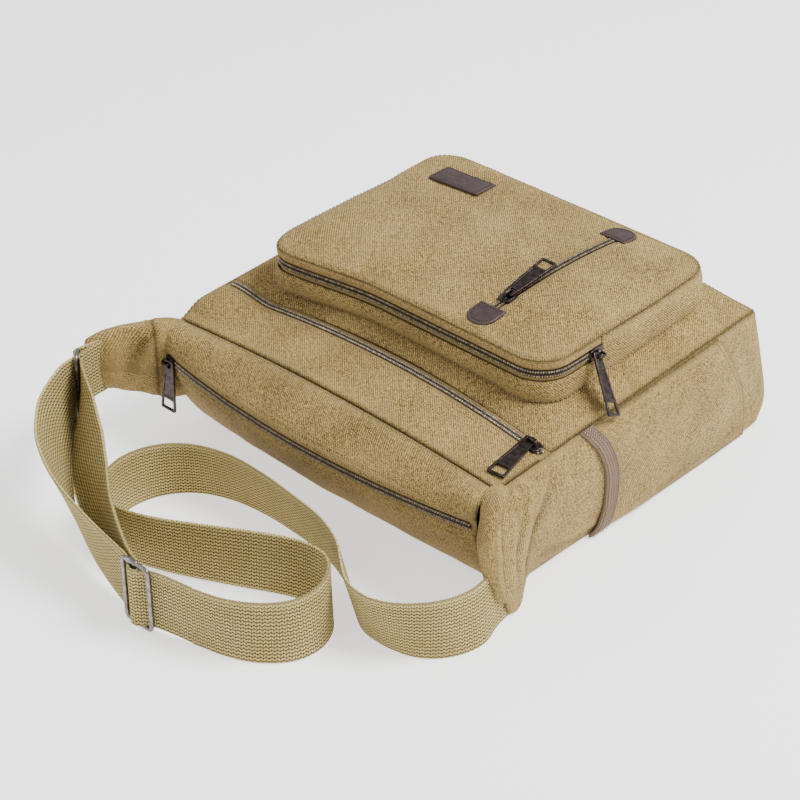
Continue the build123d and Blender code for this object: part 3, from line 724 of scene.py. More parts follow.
RIGHT_FOLDS = [
    ([(172, -36, 12), (173, -72, 20), (176, -116, 34)], 4.6, 3.0),
    ([(173, -96, 98), (178, -122, 84), (186, -142, 60)], 2.4, 4.0),
    ([(173, -110, 104), (180, -134, 92), (188, -150, 66)], -2.2, 3.5),
    ([(180, -130, 60), (188, -146, 42), (190, -156, 22)], 2.0, 3.5),
    ([(172, -40, 4), (173, -80, 11), (176, -118, 22)], -4.0, 3.2),
    ([(172, -74, 4), (174, -98, 9), (177, -118, 13)], 2.6, 2.2),
    ([(172, -100, 96), (176, -120, 70), (179, -131, 44), (179, -131, 12)], -4.6, 3.6),
    ([(178, -128, 98), (187, -141, 72), (190, -143, 44), (189, -142, 14)], 6.5, 3.6),
    ([(186, -150, 70), (190, -153, 48), (190, -151, 16)], -3.0, 3.0),
    ([(183, -156, 84), (190, -160, 56), (191, -158, 26)], 2.4, 3.0),
    ([(172, 20, 12), (174, 70, 8), (172, 120, 12)], 1.3, 6.0),
]
LEFT_FOLDS = [([(-172, -80, 20), (-173, -60, 50), (-172, -30, 60)], 2.0, 8.0)]

gussets = {}
for sign, side, folds in ((1, "right", RIGHT_FOLDS), (-1, "left", LEFT_FOLDS)):
    low, high, bottom_side, top_side = edge_profile(sign)
    grid = coons(low, high, bottom_side, top_side)
    if sign > 0:
        grid = grid[:, ::-1]
    gusset = Panel(grid, 3.0 if sign > 0 else 6.0, 1.3, 1.1, 8 + sign, "new", folds)
    gussets[side] = gusset
    finish_piece(gusset.build(f"gusset_{side}_cloth", turn=0.7), canvas, [f"gusset_{side}"])

# The left gusset's end is drawn in to a soft tab that holds the ring
LEFT_TAB = [(-160, -140, 30, 96, 16), (-166, -158, 32, 102, 30), (-172, -172, 34, 105, 30), (-179, -184, 40, 105, 25),
            (-186, -196, 44, 105, 20), (-191, -207, 48, 104, 18), (-195.5, -218, 54, 102, 15), (-198, -226, 60, 99, 9)]
left_rows = loft(smooth_sections(LEFT_TAB, 46), 60)
left_tab = tube_piece("strap_tab_left", left_rows, [
    ([(-158, -172, 106), (-165, -186, 90), (-172, -194, 70), (-178, -198, 48)], 4.6, 5.0),
    ([(-163, -180, 104), (-172, -197, 84), (-180, -207, 62)], -4.6, 4.0),
    ([(-178, -200, 78), (-186, -214, 62), (-192, -222, 50)], 2.6, 3.5),
    ([(-174, -198, 104), (-182, -212, 84), (-186, -220, 66)], 2.4, 5.0),
    ([(-166, -184, 36), (-172, -194, 44), (-174, -198, 60)], -3.2, 4.5),
    ([(-184, -206, 46), (-188, -214, 56)], -2.4, 4.0),
], 1.4, 31, seam=19)
finish_piece(left_tab, canvas)


def soft_strip(name, stations, across, folds=(), seed=3, relief=0.8, ring=36, count=40):
    """A soft rounded strip along a path: stations are (x, y, z, half width, half thickness), wide along across."""
    s = smooth_line(np.array(stations, float), count)
    path = s[:, :3]
    along = np.gradient(path, axis=0)
    along /= np.linalg.norm(along, axis=1, keepdims=True)
    wide = np.array(across, float) - along * (along @ np.array(across, float))[:, None]
    wide /= np.linalg.norm(wide, axis=1, keepdims=True)
    thin = np.cross(along, wide)
    angles = np.linspace(0, 2 * pi, ring, endpoint=False)
    c, d = np.cos(angles), np.sin(angles)
    c, d = np.sign(c) * np.abs(c) ** 0.75, np.sign(d) * np.abs(d) ** 0.85
    rows = (path[:, None] + (c[None] * s[:, 3:4])[..., None] * wide[:, None]
            + (d[None] * s[:, 4:5])[..., None] * thin[:, None])
    return tube_piece(name, rows, folds, relief, seed)


# The top gusset's right end, folded over the end of the main zip and down to the strap
right_strip = soft_strip("top_gusset_end", [
    (170, -146, 98, 4, 2), (173, -157, 101, 8, 4), (178, -168, 99, 11, 6), (182, -175, 87, 12, 7),
    (184, -176.5, 68, 12, 7.5), (185, -174, 46, 11, 7), (184.5, -168, 26, 9, 6), (181, -157, 12, 7, 4),
], (0.86, -0.51, 0), [([(177, -180, 92), (178, -186, 70), (178, -183, 50)], -2.4, 3.0),
                      ([(183, -176, 96), (186, -184, 80), (184, -184, 66)], 2.2, 3.0),
                      ([(176, -178, 74), (184, -184, 60), (189, -182, 46)], 1.8, 2.6),
                      ([(186, -176, 94), (189, -184, 72), (189, -182, 46)], 1.4, 3.0)], 33, 1.2)
finish_piece(right_strip, canvas)

# ---------------------------------------------------------------- side pockets
SIDE_TOP = [(-64, 103), (-10, 106), (50, 109), (104, 112)]
SIDE_MOUTH = [(-64, 104), (-54, 88), (-44, 60), (-40, 32), (-42, 12), (-47, 1.5)]
SIDE_BOTTOM = [(104, 112), (128, 72), (143, 38), (146, 2.5)]
SIDE_FLOOR = [(-47, 1.5), (20, 1.2), (90, 1.2), (146, 2.5)]
pockets = {}
for sign, side in ((1, "right"), (-1, "left")):
    def on_side(points, count, depth):
        flat = smooth_line(points, count)
        out = np.asarray(depth) * np.ones(count)
        return np.stack([sign * (HALF_WIDTH + 3.2 + out), flat[:, 0], flat[:, 1]], 1)

    mouth_depth = 8.0 * np.sin(np.linspace(0, pi, 26)) ** 0.7 + np.linspace(-2.0, -3.6, 26)
    foot_depth = np.interp(np.linspace(0, 1, 48), [0, 0.3, 1], [-2.0, 1.0, 1.0])
    grid = coons(on_side(SIDE_FLOOR, 48, foot_depth), on_side(SIDE_TOP, 48, -3.6),
                 on_side(SIDE_MOUTH[::-1], 26, mouth_depth), on_side(SIDE_BOTTOM[::-1], 26, np.linspace(1.0, -3.6, 26)))
    under = gussets[side].grid.reshape(-1, 3)
    gap = (grid[..., 1:2] - under[:, 1]) ** 2 + (grid[..., 2:3] - under[:, 2]) ** 2
    grid[..., 0] = sign * np.maximum(np.abs(grid[..., 0]), np.abs(under[np.argmin(gap, axis=-1), 0]) + 0.9)
    if sign < 0:
        grid = grid[:, ::-1]
    folds = [([(sign * 174, -10, 6), (sign * 176, 30, 22), (sign * 175, 70, 30)], 1.6, 6.0),
             ([(sign * 174, 20, 4), (sign * 176, 60, 12), (sign * 175, 110, 10)], -1.2, 6.0)]
    pocket = Panel(grid, 1.6, 1.0, 0.7, 13 + sign, "nse" if sign > 0 else "nsw", folds)
    pockets[side] = pocket
    finish_piece(pocket.build(f"side_pocket_{side}_cloth", turn=0.4), canvas, [f"side_pocket_{side}"])
    mouth = pocket.grid[:, 0] if sign > 0 else pocket.grid[:, -1]
    inner = pocket.grid[:, 3] if sign > 0 else pocket.grid[:, -4]
    edge_out = pocket.normals[:, 0] if sign > 0 else pocket.normals[:, -1]
    into = inner - mouth
    into /= np.linalg.norm(into, axis=1, keepdims=True)
    rows = []
    for reach, rise in ((14.6, 0.2), (14.3, 0.9), (7.0, 1.1), (0.8, 1.0), (-0.5, 0.3), (-0.5, -1.0), (0.8, -2.0),
                        (5.0, -2.2)):
        rows.append(mouth + into * reach + edge_out * rise)
    rows = np.array(rows) if sign > 0 else np.array(rows)[::-1]
    along, up = arc_lengths(rows)
    tape = new_mesh(f"side_pocket_tape_{side}_cloth", rows.reshape(-1, 3), grid_faces(*rows.shape[:2]),
                    np.stack([along, up], -1).reshape(-1, 2), {"wear": np.full(along.shape, 0.2)})
    thicken(tape, 0.5, 0.0)
    finish_piece(tape, pocket_tape, [f"side_pocket_tape_{side}"])
    for row in (2.4, 12.8):
        stitch(mouth + into * row + edge_out * 1.6, edge_out, 2.4, 1.0)

# ---------------------------------------------------------------- the box pocket
def pocket_ring(inset, count):
    """Points round the pocket's plan in its own frame, from the middle of the far side, anticlockwise."""
    half, length, corner = POCKET_HALF - inset, POCKET_LENGTH - inset, POCKET_CORNER - inset
    points = [(0.0, length)]
    for cx, cy, start in ((-half + corner, length - corner, 90), (-half + corner, inset + corner, 180),
                          (half - corner, inset + corner, 270), (half - corner, length - corner, 0)):
        for angle in np.radians(np.linspace(start, start + 90, 14)):
            points.append((cx + corner * cos(angle), cy + corner * sin(angle)))
    points.append((0.0, length))
    return resample(points, count)


def face_height(x, y):
    """Height of the pocket's face over its frame, without the roll at its edge."""
    radius = bow_radius(POCKET_LENGTH / 2, FACE_CROWN)
    return FACE_HEIGHT + FACE_CROWN - radius + np.sqrt(radius**2 - (y - POCKET_LENGTH / 2) ** 2)


def in_pocket(points):
    p = np.asarray(points, float)
    m = np.array(POCKET_FRAME)
    return p @ m[:3, :3].T + m[:3, 3]


RING = 260
ring = pocket_ring(0.0, RING)[:-1]
tangent = np.roll(ring, -1, axis=0) - np.roll(ring, 1, axis=0)
tangent /= np.linalg.norm(tangent, axis=1, keepdims=True)
outward = np.stack([tangent[:, 1], -tangent[:, 0]], 1)


def edge_height(y):
    """Height of the seam between the pocket's face and its wall."""
    return 11.5 + 3.5 * ease((y - 120) / 70)


def flare(local):
    """The pocket's near left corner is pulled outwards."""
    p = np.array(local, float)
    share = ease((-20 - p[..., 0]) / 110) * ease((70 - p[..., 1]) / 75)
    p[..., 1] -= 12.5 * share
    p[..., 0] -= 1.5 * share
    return p


def face_surface(x, y, seed=41):
    """The soft face: crowned, rolled down at its edge, wrinkled, and kept flat beside its zip and patches."""
    d = edge_distance(x, y)
    edge = edge_height(y)
    z = edge + (face_height(x, y) - edge) * (1 - np.exp(-d / 13.0)) + 1.6 * (1 - np.exp(-d / 3.0)) * np.exp(-d / 22)
    flat = np.stack([x, y, np.zeros_like(x)], -1)
    bumps = 2.6 * field(flat, 62.0, seed) + 1.0 * field(flat, 24.0, seed + 3)
    around = np.arctan2(y - POCKET_LENGTH / 2, x) * 110
    pucker = field(np.stack([around, np.zeros_like(x), np.zeros_like(x)], -1), 8.0, seed + 8)
    pucker = pucker * (d / 5) * np.exp(1 - d / 5)
    beside = np.abs(x - FACE_ZIP_X)
    past = np.maximum(np.maximum(FACE_ZIP_START - 22 - y, y - FACE_ZIP_END - 22), 0)
    near_zip = np.hypot(beside, past)
    quiet = ease((near_zip - 8.0) / 16.0)
    z = face_height(x, y) * (1 - quiet) * (past <= 0) + z * (quiet + (1 - quiet) * (past > 0))
    z = z + (bumps + 0.7 * pucker) * quiet * np.clip(d / 6, 0, 1)
    wear = 0.45 * np.exp(-(((d - 5) / 3.5) ** 2)) + 0.2 * np.clip(pucker, 0, 1)
    # dark: darker along the edge seam, with painted shade in the pucker valleys.
    dark = np.exp(-d / 1.5) + 0.25 * np.clip(-pucker, 0, 1)
    # Painted light for the wrinkles: bump tops lighter through wear as a painted highlight, bump hollows darker as
    # painted shade.
    wear = wear + 0.25 * np.clip(bumps / 2.0, 0, 1) * quiet
    dark = dark + 0.12 * np.clip(-bumps / 2.0, 0, 1) * quiet
    return z, np.clip(wear, 0, 1), np.clip(dark, 0, 1)


NEAR_EDGE = np.array([0, 1, 2.2, 3.6, 5.2, 7, 9, 11.5, 14.5, 18, 22])
face_y = np.concatenate([NEAR_EDGE, np.linspace(FACE_ZIP_START, FACE_ZIP_END, 62), POCKET_LENGTH - NEAR_EDGE[::-1]])
left_x, right_x = FACE_ZIP_X - ZIP_EDGE, FACE_ZIP_X + ZIP_EDGE
face_x = np.concatenate([NEAR_EDGE - POCKET_HALF, np.linspace(-116, left_x, 58), np.linspace(right_x, 118, 18),
                         POCKET_HALF - NEAR_EDGE[::-1]])
slot_column = len(NEAR_EDGE) + 57
x, y = np.meshgrid(face_x, face_y)
corner_y = np.clip(POCKET_CORNER - np.minimum(y, POCKET_LENGTH - y), 0, POCKET_CORNER)
half_width = POCKET_HALF - POCKET_CORNER + np.sqrt(np.maximum(POCKET_CORNER**2 - corner_y**2, 0))
x = x * half_width / POCKET_HALF
z, wear, dark = face_surface(x, y)
face_local = np.stack([x, y, z], -1)
slot_rows = range(len(NEAR_EDGE), len(NEAR_EDGE) + 61)
columns = len(face_x)
faces = [f for f in grid_faces(len(face_y), columns)
         if not (f[0] % columns == slot_column and f[0] // columns in slot_rows)]
face = new_mesh("pocket_face_cloth", in_pocket(flare(face_local.reshape(-1, 3))), faces,
                np.stack([x, y], -1).reshape(-1, 2), {"wear": wear, "dark": dark})
finish_piece(thicken(face, 1.6), canvas, ["box_pocket_face"])


def pocket_wall(select, low, high, rows, **settings):
    """A band of the pocket's wall over part of its ring, between two heights that follow the ring."""
    run, out = ring[select], outward[select]
    low = low(run) if callable(low) else np.full(len(run), low)
    high = high(run) if callable(high) else np.full(len(run), high)
    t = np.linspace(0, 1, rows)[:, None]
    height = low[None] * (1 - t) + high[None] * t
    spread = np.stack([np.broadcast_to(run[:, 0], height.shape), np.broadcast_to(run[:, 1], height.shape), height], -1)
    return Panel(in_pocket(flare(spread)), **settings)


def wall_foot(run):
    """Where the pocket's wall meets the bag's front, in the pocket's frame."""
    base = in_pocket(np.column_stack([run, np.zeros(len(run))]))
    return front_z(base[:, 0], base[:, 1]) - base[:, 2] + 7.5


def wall_top(run):
    return edge_height(run[:, 1])


index = np.arange(len(ring))
zipped = index[ring[:, 1] <= POCKET_ZIP_END + 0.6]
plain = np.concatenate([np.arange(zipped[-1], len(ring)), np.arange(0, zipped[0] + 1)])
lower_band = pocket_wall(zipped, wall_foot, -ZIP_EDGE, 15, puff=3.0, roll=1.2, relief=0.9, seed=51, seams="s")
upper_band = pocket_wall(zipped, ZIP_EDGE, wall_top, 8, puff=1.1, roll=0.9, relief=0.35, seed=52, seams="n")
plain_band = pocket_wall(plain, wall_foot, wall_top, 22, puff=3.4, roll=1.2, relief=1.0, seed=53, seams="ns")
for panel, name, node, cloth, slot_name in (
    (lower_band, "pocket_band_lower_cloth", "box_pocket_zip_band_lower", canvas, "canvas"),
    (upper_band, "pocket_band_upper_cloth", "box_pocket_zip_band_upper", band_canvas, "canvas_band"),
    (plain_band, "pocket_band_plain_cloth", "box_pocket_band", canvas, "canvas"),
):
    finish_piece(panel.build(name), cloth, [node])

# ---------------------------------------------------------------- zips
TOOTH_PITCH = 2.0


def zip_run(name, centre, out, coil, half_tape, trim=0.0):
    """Tape and interlocked coils along a zip's centre line; out is the direction out of the cloth there."""
    centre = np.asarray(centre, float)
    out = np.asarray(out, float)
    s = distances(centre)
    tangent = np.gradient(centre, s, axis=0)
    across = np.cross(out, tangent)
    across /= np.linalg.norm(across, axis=1, keepdims=True)
    rows = np.array([centre + across * a + out * d for a, d in
                     ((-half_tape, -1.6), (-3.9, -1.1), (-3.2, -1.6), (0.0, -2.0), (3.2, -1.6), (3.9, -1.1),
                      (half_tape, -1.6))])
    along, up = arc_lengths(rows)
    # gap marks the tape between and under the coil rows for painted shade.
    gap = np.array([0.0, 0.0, 1.0, 1.0, 1.0, 0.0, 0.0])[:, None] * ((s > trim) & (s < s[-1] - trim))[None]
    tape = new_mesh(f"{name}_tape_cloth", rows.reshape(-1, 3), grid_faces(*rows.shape[:2]),
                    np.stack([along, up], -1).reshape(-1, 2), {"dark": gap})
    thicken(tape, 0.6, 0.0, 0)
    finish_piece(tape, zip_tape, [f"{name}_tape"])
    verts, faces, dark = [], [], []
    profile = [(-0.9, 0.45), (0.9, 0.6), (1.3, 0.78), (2.3, 0.78), (3.0, 0.58), (3.4, 0.25)]
    for side in (1, -1):
        at = trim + (TOOTH_PITCH / 2 if side < 0 else 0.0) + 0.6
        while at < s[-1] - trim - 0.6:
            c, t, a, o = (np.array([np.interp(at, s, field_[:, k]) for k in range(3)])
                          for field_ in (centre, tangent, across, out))
            t = t / np.linalg.norm(t)
            base = len(verts)
            for reach, size in profile:
                middle = c + a * side * reach + o * (-0.75 - 0.05 * abs(reach)) + t * side * 0.1 * (reach - 1.5)
                for k in range(8):
                    angle = 2 * pi * k / 8
                    verts.append(middle + t * cos(angle) * size * 0.98 + o * sin(angle) * (size + 0.45))
                    # The teeth's inner and outer ends get painted shade.
                    dark.append(1.0 if reach < 1.0 or reach > 2.9 else 0.0)
            ends = [tuple(base + k for k in range(8)), tuple(base + 40 + k for k in reversed(range(8)))]
            faces += grid_faces(6, 8, closed=True, offset=base) + ends
            at += TOOTH_PITCH
    chain = new_mesh(f"{name}_coils", verts, faces, None, {"dark": np.array(dark)})
    finish_piece(chain, coil, [f"{name}_chain"])
    for side in (1, -1):
        stitch(centre + across * side * 4.6 - out * 1.5, out, 2.2, 0.7, 0.3)


def trimmed(points, count=90, end=172.5):
    keep = np.abs(points[:, 0]) <= end
    return resample(points[keep], count)


main_line = trimmed(main_zip(0.0))
main_radius = bow_radius(HALF_WIDTH, MAIN_ZIP_BOW)
main_sine = main_line[:, 0] / main_radius
main_out = np.stack([main_sine, -np.sqrt(1 - main_sine**2), 0 * main_sine], 1)
zip_run("main_zip", main_line, main_out, dark_coil_painted_light, 9.0, 4.5)

slip_line = settle(trimmed(slip_zip(0.0)))
lean = 2 * FRONT_CROWN / HALF_WIDTH**2 * slip_line[:, 0]
slip_out = np.stack([lean, np.full(len(lean), -tan(FRONT_SLOPE)), np.ones(len(lean))], 1)
slip_out /= np.linalg.norm(slip_out, axis=1, keepdims=True)
zip_run("front_zip", slip_line, slip_out, brown_coil, 9.0, 4.5)

pocket_turn = np.array(POCKET_FRAME)[:3, :3]
box_line = in_pocket(flare(np.column_stack([ring[zipped], np.zeros(len(zipped))])))
box_out = np.column_stack([outward[zipped], np.zeros(len(zipped))]) @ pocket_turn.T
zip_run("box_pocket_zip", box_line, box_out, dark_coil_painted_light, 8.0)

run_y = np.linspace(FACE_ZIP_START, FACE_ZIP_END, 60)
face_radius = bow_radius(POCKET_LENGTH / 2, FACE_CROWN)
face_line = in_pocket(np.column_stack([np.full(60, FACE_ZIP_X), run_y, face_height(0, run_y)]))
tilt = (run_y - POCKET_LENGTH / 2) / face_radius
face_out = np.column_stack([0 * tilt, np.sin(tilt), np.cos(tilt)]) @ pocket_turn.T
zip_run("face_zip", face_line, face_out, dark_coil_painted_light, 8.0)


def turned(angle, axis):
    return Matrix.Rotation(radians(angle), 4, axis)


def moved(x, y, z):
    return Matrix.Translation((x, y, z))


def on_main_zip(x):
    y = MAIN_ZIP_END[0] - MAIN_ZIP_BOW + main_radius
    return (moved(0, y, MAIN_ZIP_END[1]) @ turned(degrees(x / main_radius), "Z") @ moved(0, -main_radius, 0)
            @ turned(90, "X"))


def on_front_zip(x):
    rise = FRONT_CROWN / cos(FRONT_SLOPE) + FRONT_ZIP_BOW * tan(FRONT_SLOPE)
    bow = hypot(FRONT_ZIP_BOW, rise)
    radius = bow_radius(HALF_WIDTH, bow)
    lean = degrees(atan2(FRONT_ZIP_BOW, rise))
    height = FRONT_TOP[1] + (FRONT_ZIP_Y - FRONT_TOP[0]) * tan(FRONT_SLOPE)
    centre = moved(0, FRONT_ZIP_Y, height) @ turned(-lean, "X") @ moved(0, 0, bow - radius)
    return centre @ turned(degrees(x / radius), "Y") @ moved(0, 0, radius) @ turned(lean + degrees(FRONT_SLOPE), "X")


on_pocket = POCKET_FRAME @ moved(POCKET_HALF, 57, 0) @ turned(90, "Z") @ turned(90, "X")
face_turn = -degrees((46 - POCKET_LENGTH / 2) / face_radius)
on_face = (POCKET_FRAME @ moved(FACE_ZIP_X, POCKET_LENGTH / 2, FACE_HEIGHT + FACE_CROWN - face_radius)
           @ turned(face_turn, "X") @ moved(0, 0, face_radius) @ turned(90, "Z"))


def placed(points, matrix):
    m = np.array(matrix)
    return np.asarray(points, float) @ m[:3, :3].T + m[:3, 3]


def plate_mesh(outlines, low, high, bevel):
    """Vertices and faces of a flat plate with rounded edges, from its outline and its holes."""
    curve = bpy.data.curves.new("plate", "CURVE")
    curve.dimensions, curve.fill_mode = "2D", "BOTH"
    curve.extrude = (high - low) / 2 - bevel
    curve.bevel_depth, curve.bevel_resolution, curve.offset = bevel, 2, -bevel
    for outline in outlines:
        spline = curve.splines.new("POLY")
        spline.points.add(len(outline) - 1)
        spline.use_cyclic_u = True
        for point, (px, py) in zip(spline.points, outline):
            point.co = (px, py, 0, 1)
    holder = bpy.data.objects.new("plate", curve)
    bpy.context.scene.collection.objects.link(holder)
    bpy.context.view_layer.update()
    mesh = bpy.data.meshes.new_from_object(holder)
    verts = np.array([v.co for v in mesh.vertices]) + [0, 0, (low + high) / 2]
    faces = [tuple(p.vertices) for p in mesh.polygons]
    bpy.data.objects.remove(holder)
    return verts, faces


def rounded(corners, radius, steps=6):
    """A polygon with its corners rounded."""
    points = []
    corners = [np.array(c, float) for c in corners]
    for i, corner in enumerate(corners):
        before, after = corners[i - 1] - corner, corners[(i + 1) % len(corners)] - corner
        before, after = before / np.linalg.norm(before), after / np.linalg.norm(after)
        reach = radius / tan(acos(np.clip(before @ after, -1, 1)) / 2)
        a, b = corner + before * reach, corner + after * reach
        for t in np.linspace(0, 1, steps):
            points.append((1 - t) ** 2 * a + 2 * t * (1 - t) * corner + t**2 * b)
    return points


def tube(points, radius, ring=12, closed=False, flatten=1.0):
    """Vertices and faces of a round wire along a path."""
    p = np.asarray(points, float)
    if closed:
        t = np.roll(p, -1, axis=0) - np.roll(p, 1, axis=0)
    else:
        t = np.gradient(p, axis=0)
    t /= np.linalg.norm(t, axis=1, keepdims=True)
    guide = np.array([0.0, 1.0, 0.0]) if abs(t[:, 1]).max() < 0.9 else np.array([0.31, 0.2, 0.93])
    side = np.cross(t, guide)
    side /= np.linalg.norm(side, axis=1, keepdims=True)
    up = np.cross(side, t)
    radius = np.broadcast_to(np.asarray(radius, float), (len(p),))
    verts = []
    for k in range(ring):
        angle = 2 * pi * k / ring
        verts.append(p + radius[:, None] * (side * cos(angle) + up * sin(angle) * flatten))
    verts = np.array(verts).transpose(1, 0, 2)
    faces = grid_faces(len(p), ring, closed=True)
    if closed:
        last = (len(p) - 1) * ring
        faces += [(last + a, last + (a + 1) % ring, (a + 1) % ring, a) for a in range(ring)]
    else:
        faces += [tuple(reversed(range(ring))), tuple((len(p) - 1) * ring + a for a in range(ring))]
    return verts.reshape(-1, 3), faces


def joined(parts):
    verts, faces = [], []
    for v, f in parts:
        base = len(verts)
        verts += [tuple(p) for p in v]
        faces += [tuple(base + i for i in face_) for face_ in f]
    return np.array(verts), faces


def rounded_path(corners, radius, steps=8, closed=True):
    """A path in space, closed or open, with its corners rounded."""
    corners = [np.array(c, float) for c in corners]
    points = []
    for i, corner in enumerate(corners):
        if not closed and i in (0, len(corners) - 1):
            points.append(corner)
            continue
        before, after = corners[i - 1] - corner, corners[(i + 1) % len(corners)] - corner
        a = corner + before / np.linalg.norm(before) * radius
        b = corner + after / np.linalg.norm(after) * radius
        for t in np.linspace(0, 1, steps):
            points.append((1 - t) ** 2 * a + 2 * t * (1 - t) * corner + t**2 * b)
    return points


def slider_mesh(nose, bail_rise):
    """A slider in its zip's frame: a shield-shaped body with flanges and a bail along it."""
    n = nose
    plan = [(7.4 * n, 2.2), (7.4 * n, -2.2), (5.2 * n, -5.4), (-1.5 * n, -5.3), (-7.3 * n, -3.6), (-7.3 * n, 3.6),
            (-1.5 * n, 5.3), (5.2 * n, 5.4)]
    top = plate_mesh([rounded(plan, 1.3)], 0.4, 1.9, 0.5)
    low = plate_mesh([rounded(plan, 1.3)], -5.0, -3.8, 0.4)
    parts = [top, low]
    for side in (1, -1):
        rail = [(-5.8 * n, side * 4.3), (-1.2 * n, side * 5.0), (4.6 * n, side * 5.05), (5.6 * n, side * 4.4)]
        parts.append(tube(smooth_line([(a, b, 0.15) for a, b in rail], 14), 0.55, 8, flatten=1.6))
    rise = 1.8 + bail_rise - 0.9
    path = rounded_path([(-3.6, 0, 1.3), (-3.6, 0, rise), (3.6, 0, rise), (3.6, 0, 1.3)], 2.0, closed=False)
    parts.append(tube(path, 0.9, 12, flatten=1.25))
    parts.append(tube([(-5.2, 0, 1.75), (-2.6, 0, 2.15), (-1.8, 0, 1.8)], 0.95, 8, flatten=1.6))
    parts.append(tube([(1.8, 0, 1.8), (2.6, 0, 2.15), (5.2, 0, 1.75)], 0.95, 8, flatten=1.6))
    return joined(parts)


def pull_mesh(eye, flip=False):
    """A tapered pull: a thin plate under a raised frame, with an eye at the narrow end and a window at the wide end."""
    start = eye + 1.5 - (0.7 if flip else 0.0)
    end = start - 50.0
    outline = rounded([(-4.5, start), (4.5, start), (7.5, end), (-7.5, end)], 1.9)
    window = rounded([(-5.0, end + 11.0), (5.0, end + 11.0), (5.5, end + 2.2), (-5.5, end + 2.2)], 0.9)
    if flip:
        hole = rounded([(-2.2, -0.8), (2.2, -0.8), (2.2, -7.2), (-2.2, -7.2)], 0.6)
    else:
        hole = rounded([(-2.3, 1.9), (2.3, 1.9), (1.9, -2.4), (0, -3.6), (-1.9, -2.4)], 0.7)
    panel = rounded([(-3.2, -9.5), (3.2, -9.5), (5.0, end + 13.4), (-5.0, end + 13.4)], 1.0)
    base = plate_mesh([outline, window, hole], -0.9, 0.45, 0.3)
    rim = plate_mesh([outline, window, hole, panel], 0.1, 0.95, 0.32)
    return joined([base, rim])


def metal_piece(name, shape, matrix, body, node):
    verts, faces = shape
    obj = new_mesh(name, placed(verts, matrix), faces)
    sharp = obj.modifiers.new("edges", "EDGE_SPLIT")
    sharp.split_angle = radians(38)
    return finish_piece(obj, gunmetal, [node], body)


main_place, front_place = on_main_zip(MAIN_SLIDER_X), on_front_zip(FRONT_SLIDER_X)
metal_piece("main_slider_metal", slider_mesh(-1, 4.9), main_place, "main_zip_slider_body", "main_zip_slider")
metal_piece("front_slider_metal", slider_mesh(1, 4.9), front_place,
            "front_zip_slider_body", "front_zip_slider")
metal_piece("pocket_slider_metal", slider_mesh(1, 7.0), on_pocket,
            "box_pocket_zip_slider_body", "box_pocket_zip_slider")
metal_piece("face_slider_metal", slider_mesh(-1, 4.9), on_face, "face_zip_slider_body", "face_zip_slider")
metal_piece("main_pull_metal", pull_mesh(2.3), main_place @ moved(3.6, 0, 3.1) @ turned(-7, "Z") @ turned(18, "Y"),
            "main_zip_pull_body", "main_zip_pull")
metal_piece("front_pull_metal", pull_mesh(2.3), front_place @ moved(-3.6, 0, 3.1) @ turned(14, "Z"),
            "front_zip_pull_body", "front_zip_pull")
metal_piece("pocket_pull_metal", pull_mesh(2.3), on_pocket @ moved(-3.6, 0, 5.2) @ turned(-26, "Z") @ turned(-41, "X"),
            "box_pocket_zip_pull_body", "box_pocket_zip_pull")
metal_piece("face_pull_metal", pull_mesh(0.0, True), on_face @ moved(0, 0, 3.35) @ turned(-4, "Y") @ turned(90, "Z"),
            "face_zip_pull_body", "face_zip_pull")

# ---------------------------------------------------------------- leather
LEATHER_THREAD = {"verts": [], "faces": []}
PATCH_RINGS = 20  # rings of the patch's flat top, from its middle to near its edge
PATCH_EDGE = [(0.9, 0.06), (0.45, 0.25), (0.12, 0.6), (0.0, 1.1), (0.0, 2.2)]  # back from its outline, down


def leather_patch(name, outline, node, thickness=1.9, stitched=2.3, motif=None, seed=71):
    """A leather patch on the pocket's face, from its outline in the pocket's plan: soft edges and a stitched border."""
    outline = np.array(outline, float)
    middle = outline.mean(axis=0)
    reach = np.linalg.norm(outline - middle, axis=1)
    rows = []
    for step in range(PATCH_RINGS):
        ring_ = middle + (outline - middle) * (step / (PATCH_RINGS - 1)) * (1 - 1.3 / reach)[:, None]
        rows.append(np.column_stack([ring_, np.full(len(outline), thickness)]))
    for back, drop in PATCH_EDGE:
        ring_ = middle + (outline - middle) * (1 - back / reach)[:, None]
        rows.append(np.column_stack([ring_, np.full(len(outline), thickness - drop)]))
    rows = np.array(rows)
    flat = np.stack([rows[..., 0], rows[..., 1], np.zeros(rows.shape[:2])], -1)
    lift = 0.35 * field(flat, 14.0, seed) + 0.2 * field(flat, 5.0, seed + 2)
    border = np.linalg.norm(rows[..., :2] - middle, axis=2)
    groove = reach[None] - border
    dent = -0.32 * np.exp(-(((groove - stitched) / 0.8) ** 2))
    if motif is not None:
        dent = dent + motif(rows[..., 0] - middle[0], rows[..., 1] - middle[1])
    rows[..., 2] += face_height(rows[..., 0], rows[..., 1]) + lift + dent
    wear = np.clip(np.exp(-(((groove - 0.7) / 0.8) ** 2)) * 0.8 + 0.5 * np.clip(lift, 0, 1), 0, 1)
    faces = grid_faces(len(rows), len(outline), closed=True)
    patch = new_mesh(name, in_pocket(rows.reshape(-1, 3)), [tuple(reversed(f)) for f in faces], None, {"wear": wear})
    finish_piece(patch, leather, [node])
    row = np.argmin(np.abs(groove.mean(axis=1) - stitched))
    loop = in_pocket(np.vstack([rows[row], rows[row][:1]]))
    ups = np.tile(pocket_turn @ np.array([0, 0, 1.0]), (len(loop), 1))
    stitch(loop + ups * 0.25, ups, 2.2, 0.9, 0.3, LEATHER_THREAD)


def tab_outline(y, outward):
    points = [(-12.5, 0.0), (12.5, 0.0), (12.5, 12.0)]
    points += [(12.5 * cos(a), 12.0 + 11.2 * sin(a)) for a in np.linspace(0.15, pi - 0.15, 18)] + [(-12.5, 12.0)]
    outline = [(FACE_ZIP_X + px * outward, y + py * outward) for px, py in points]
    return resample(outline + outline[:1], 97)[:-1]


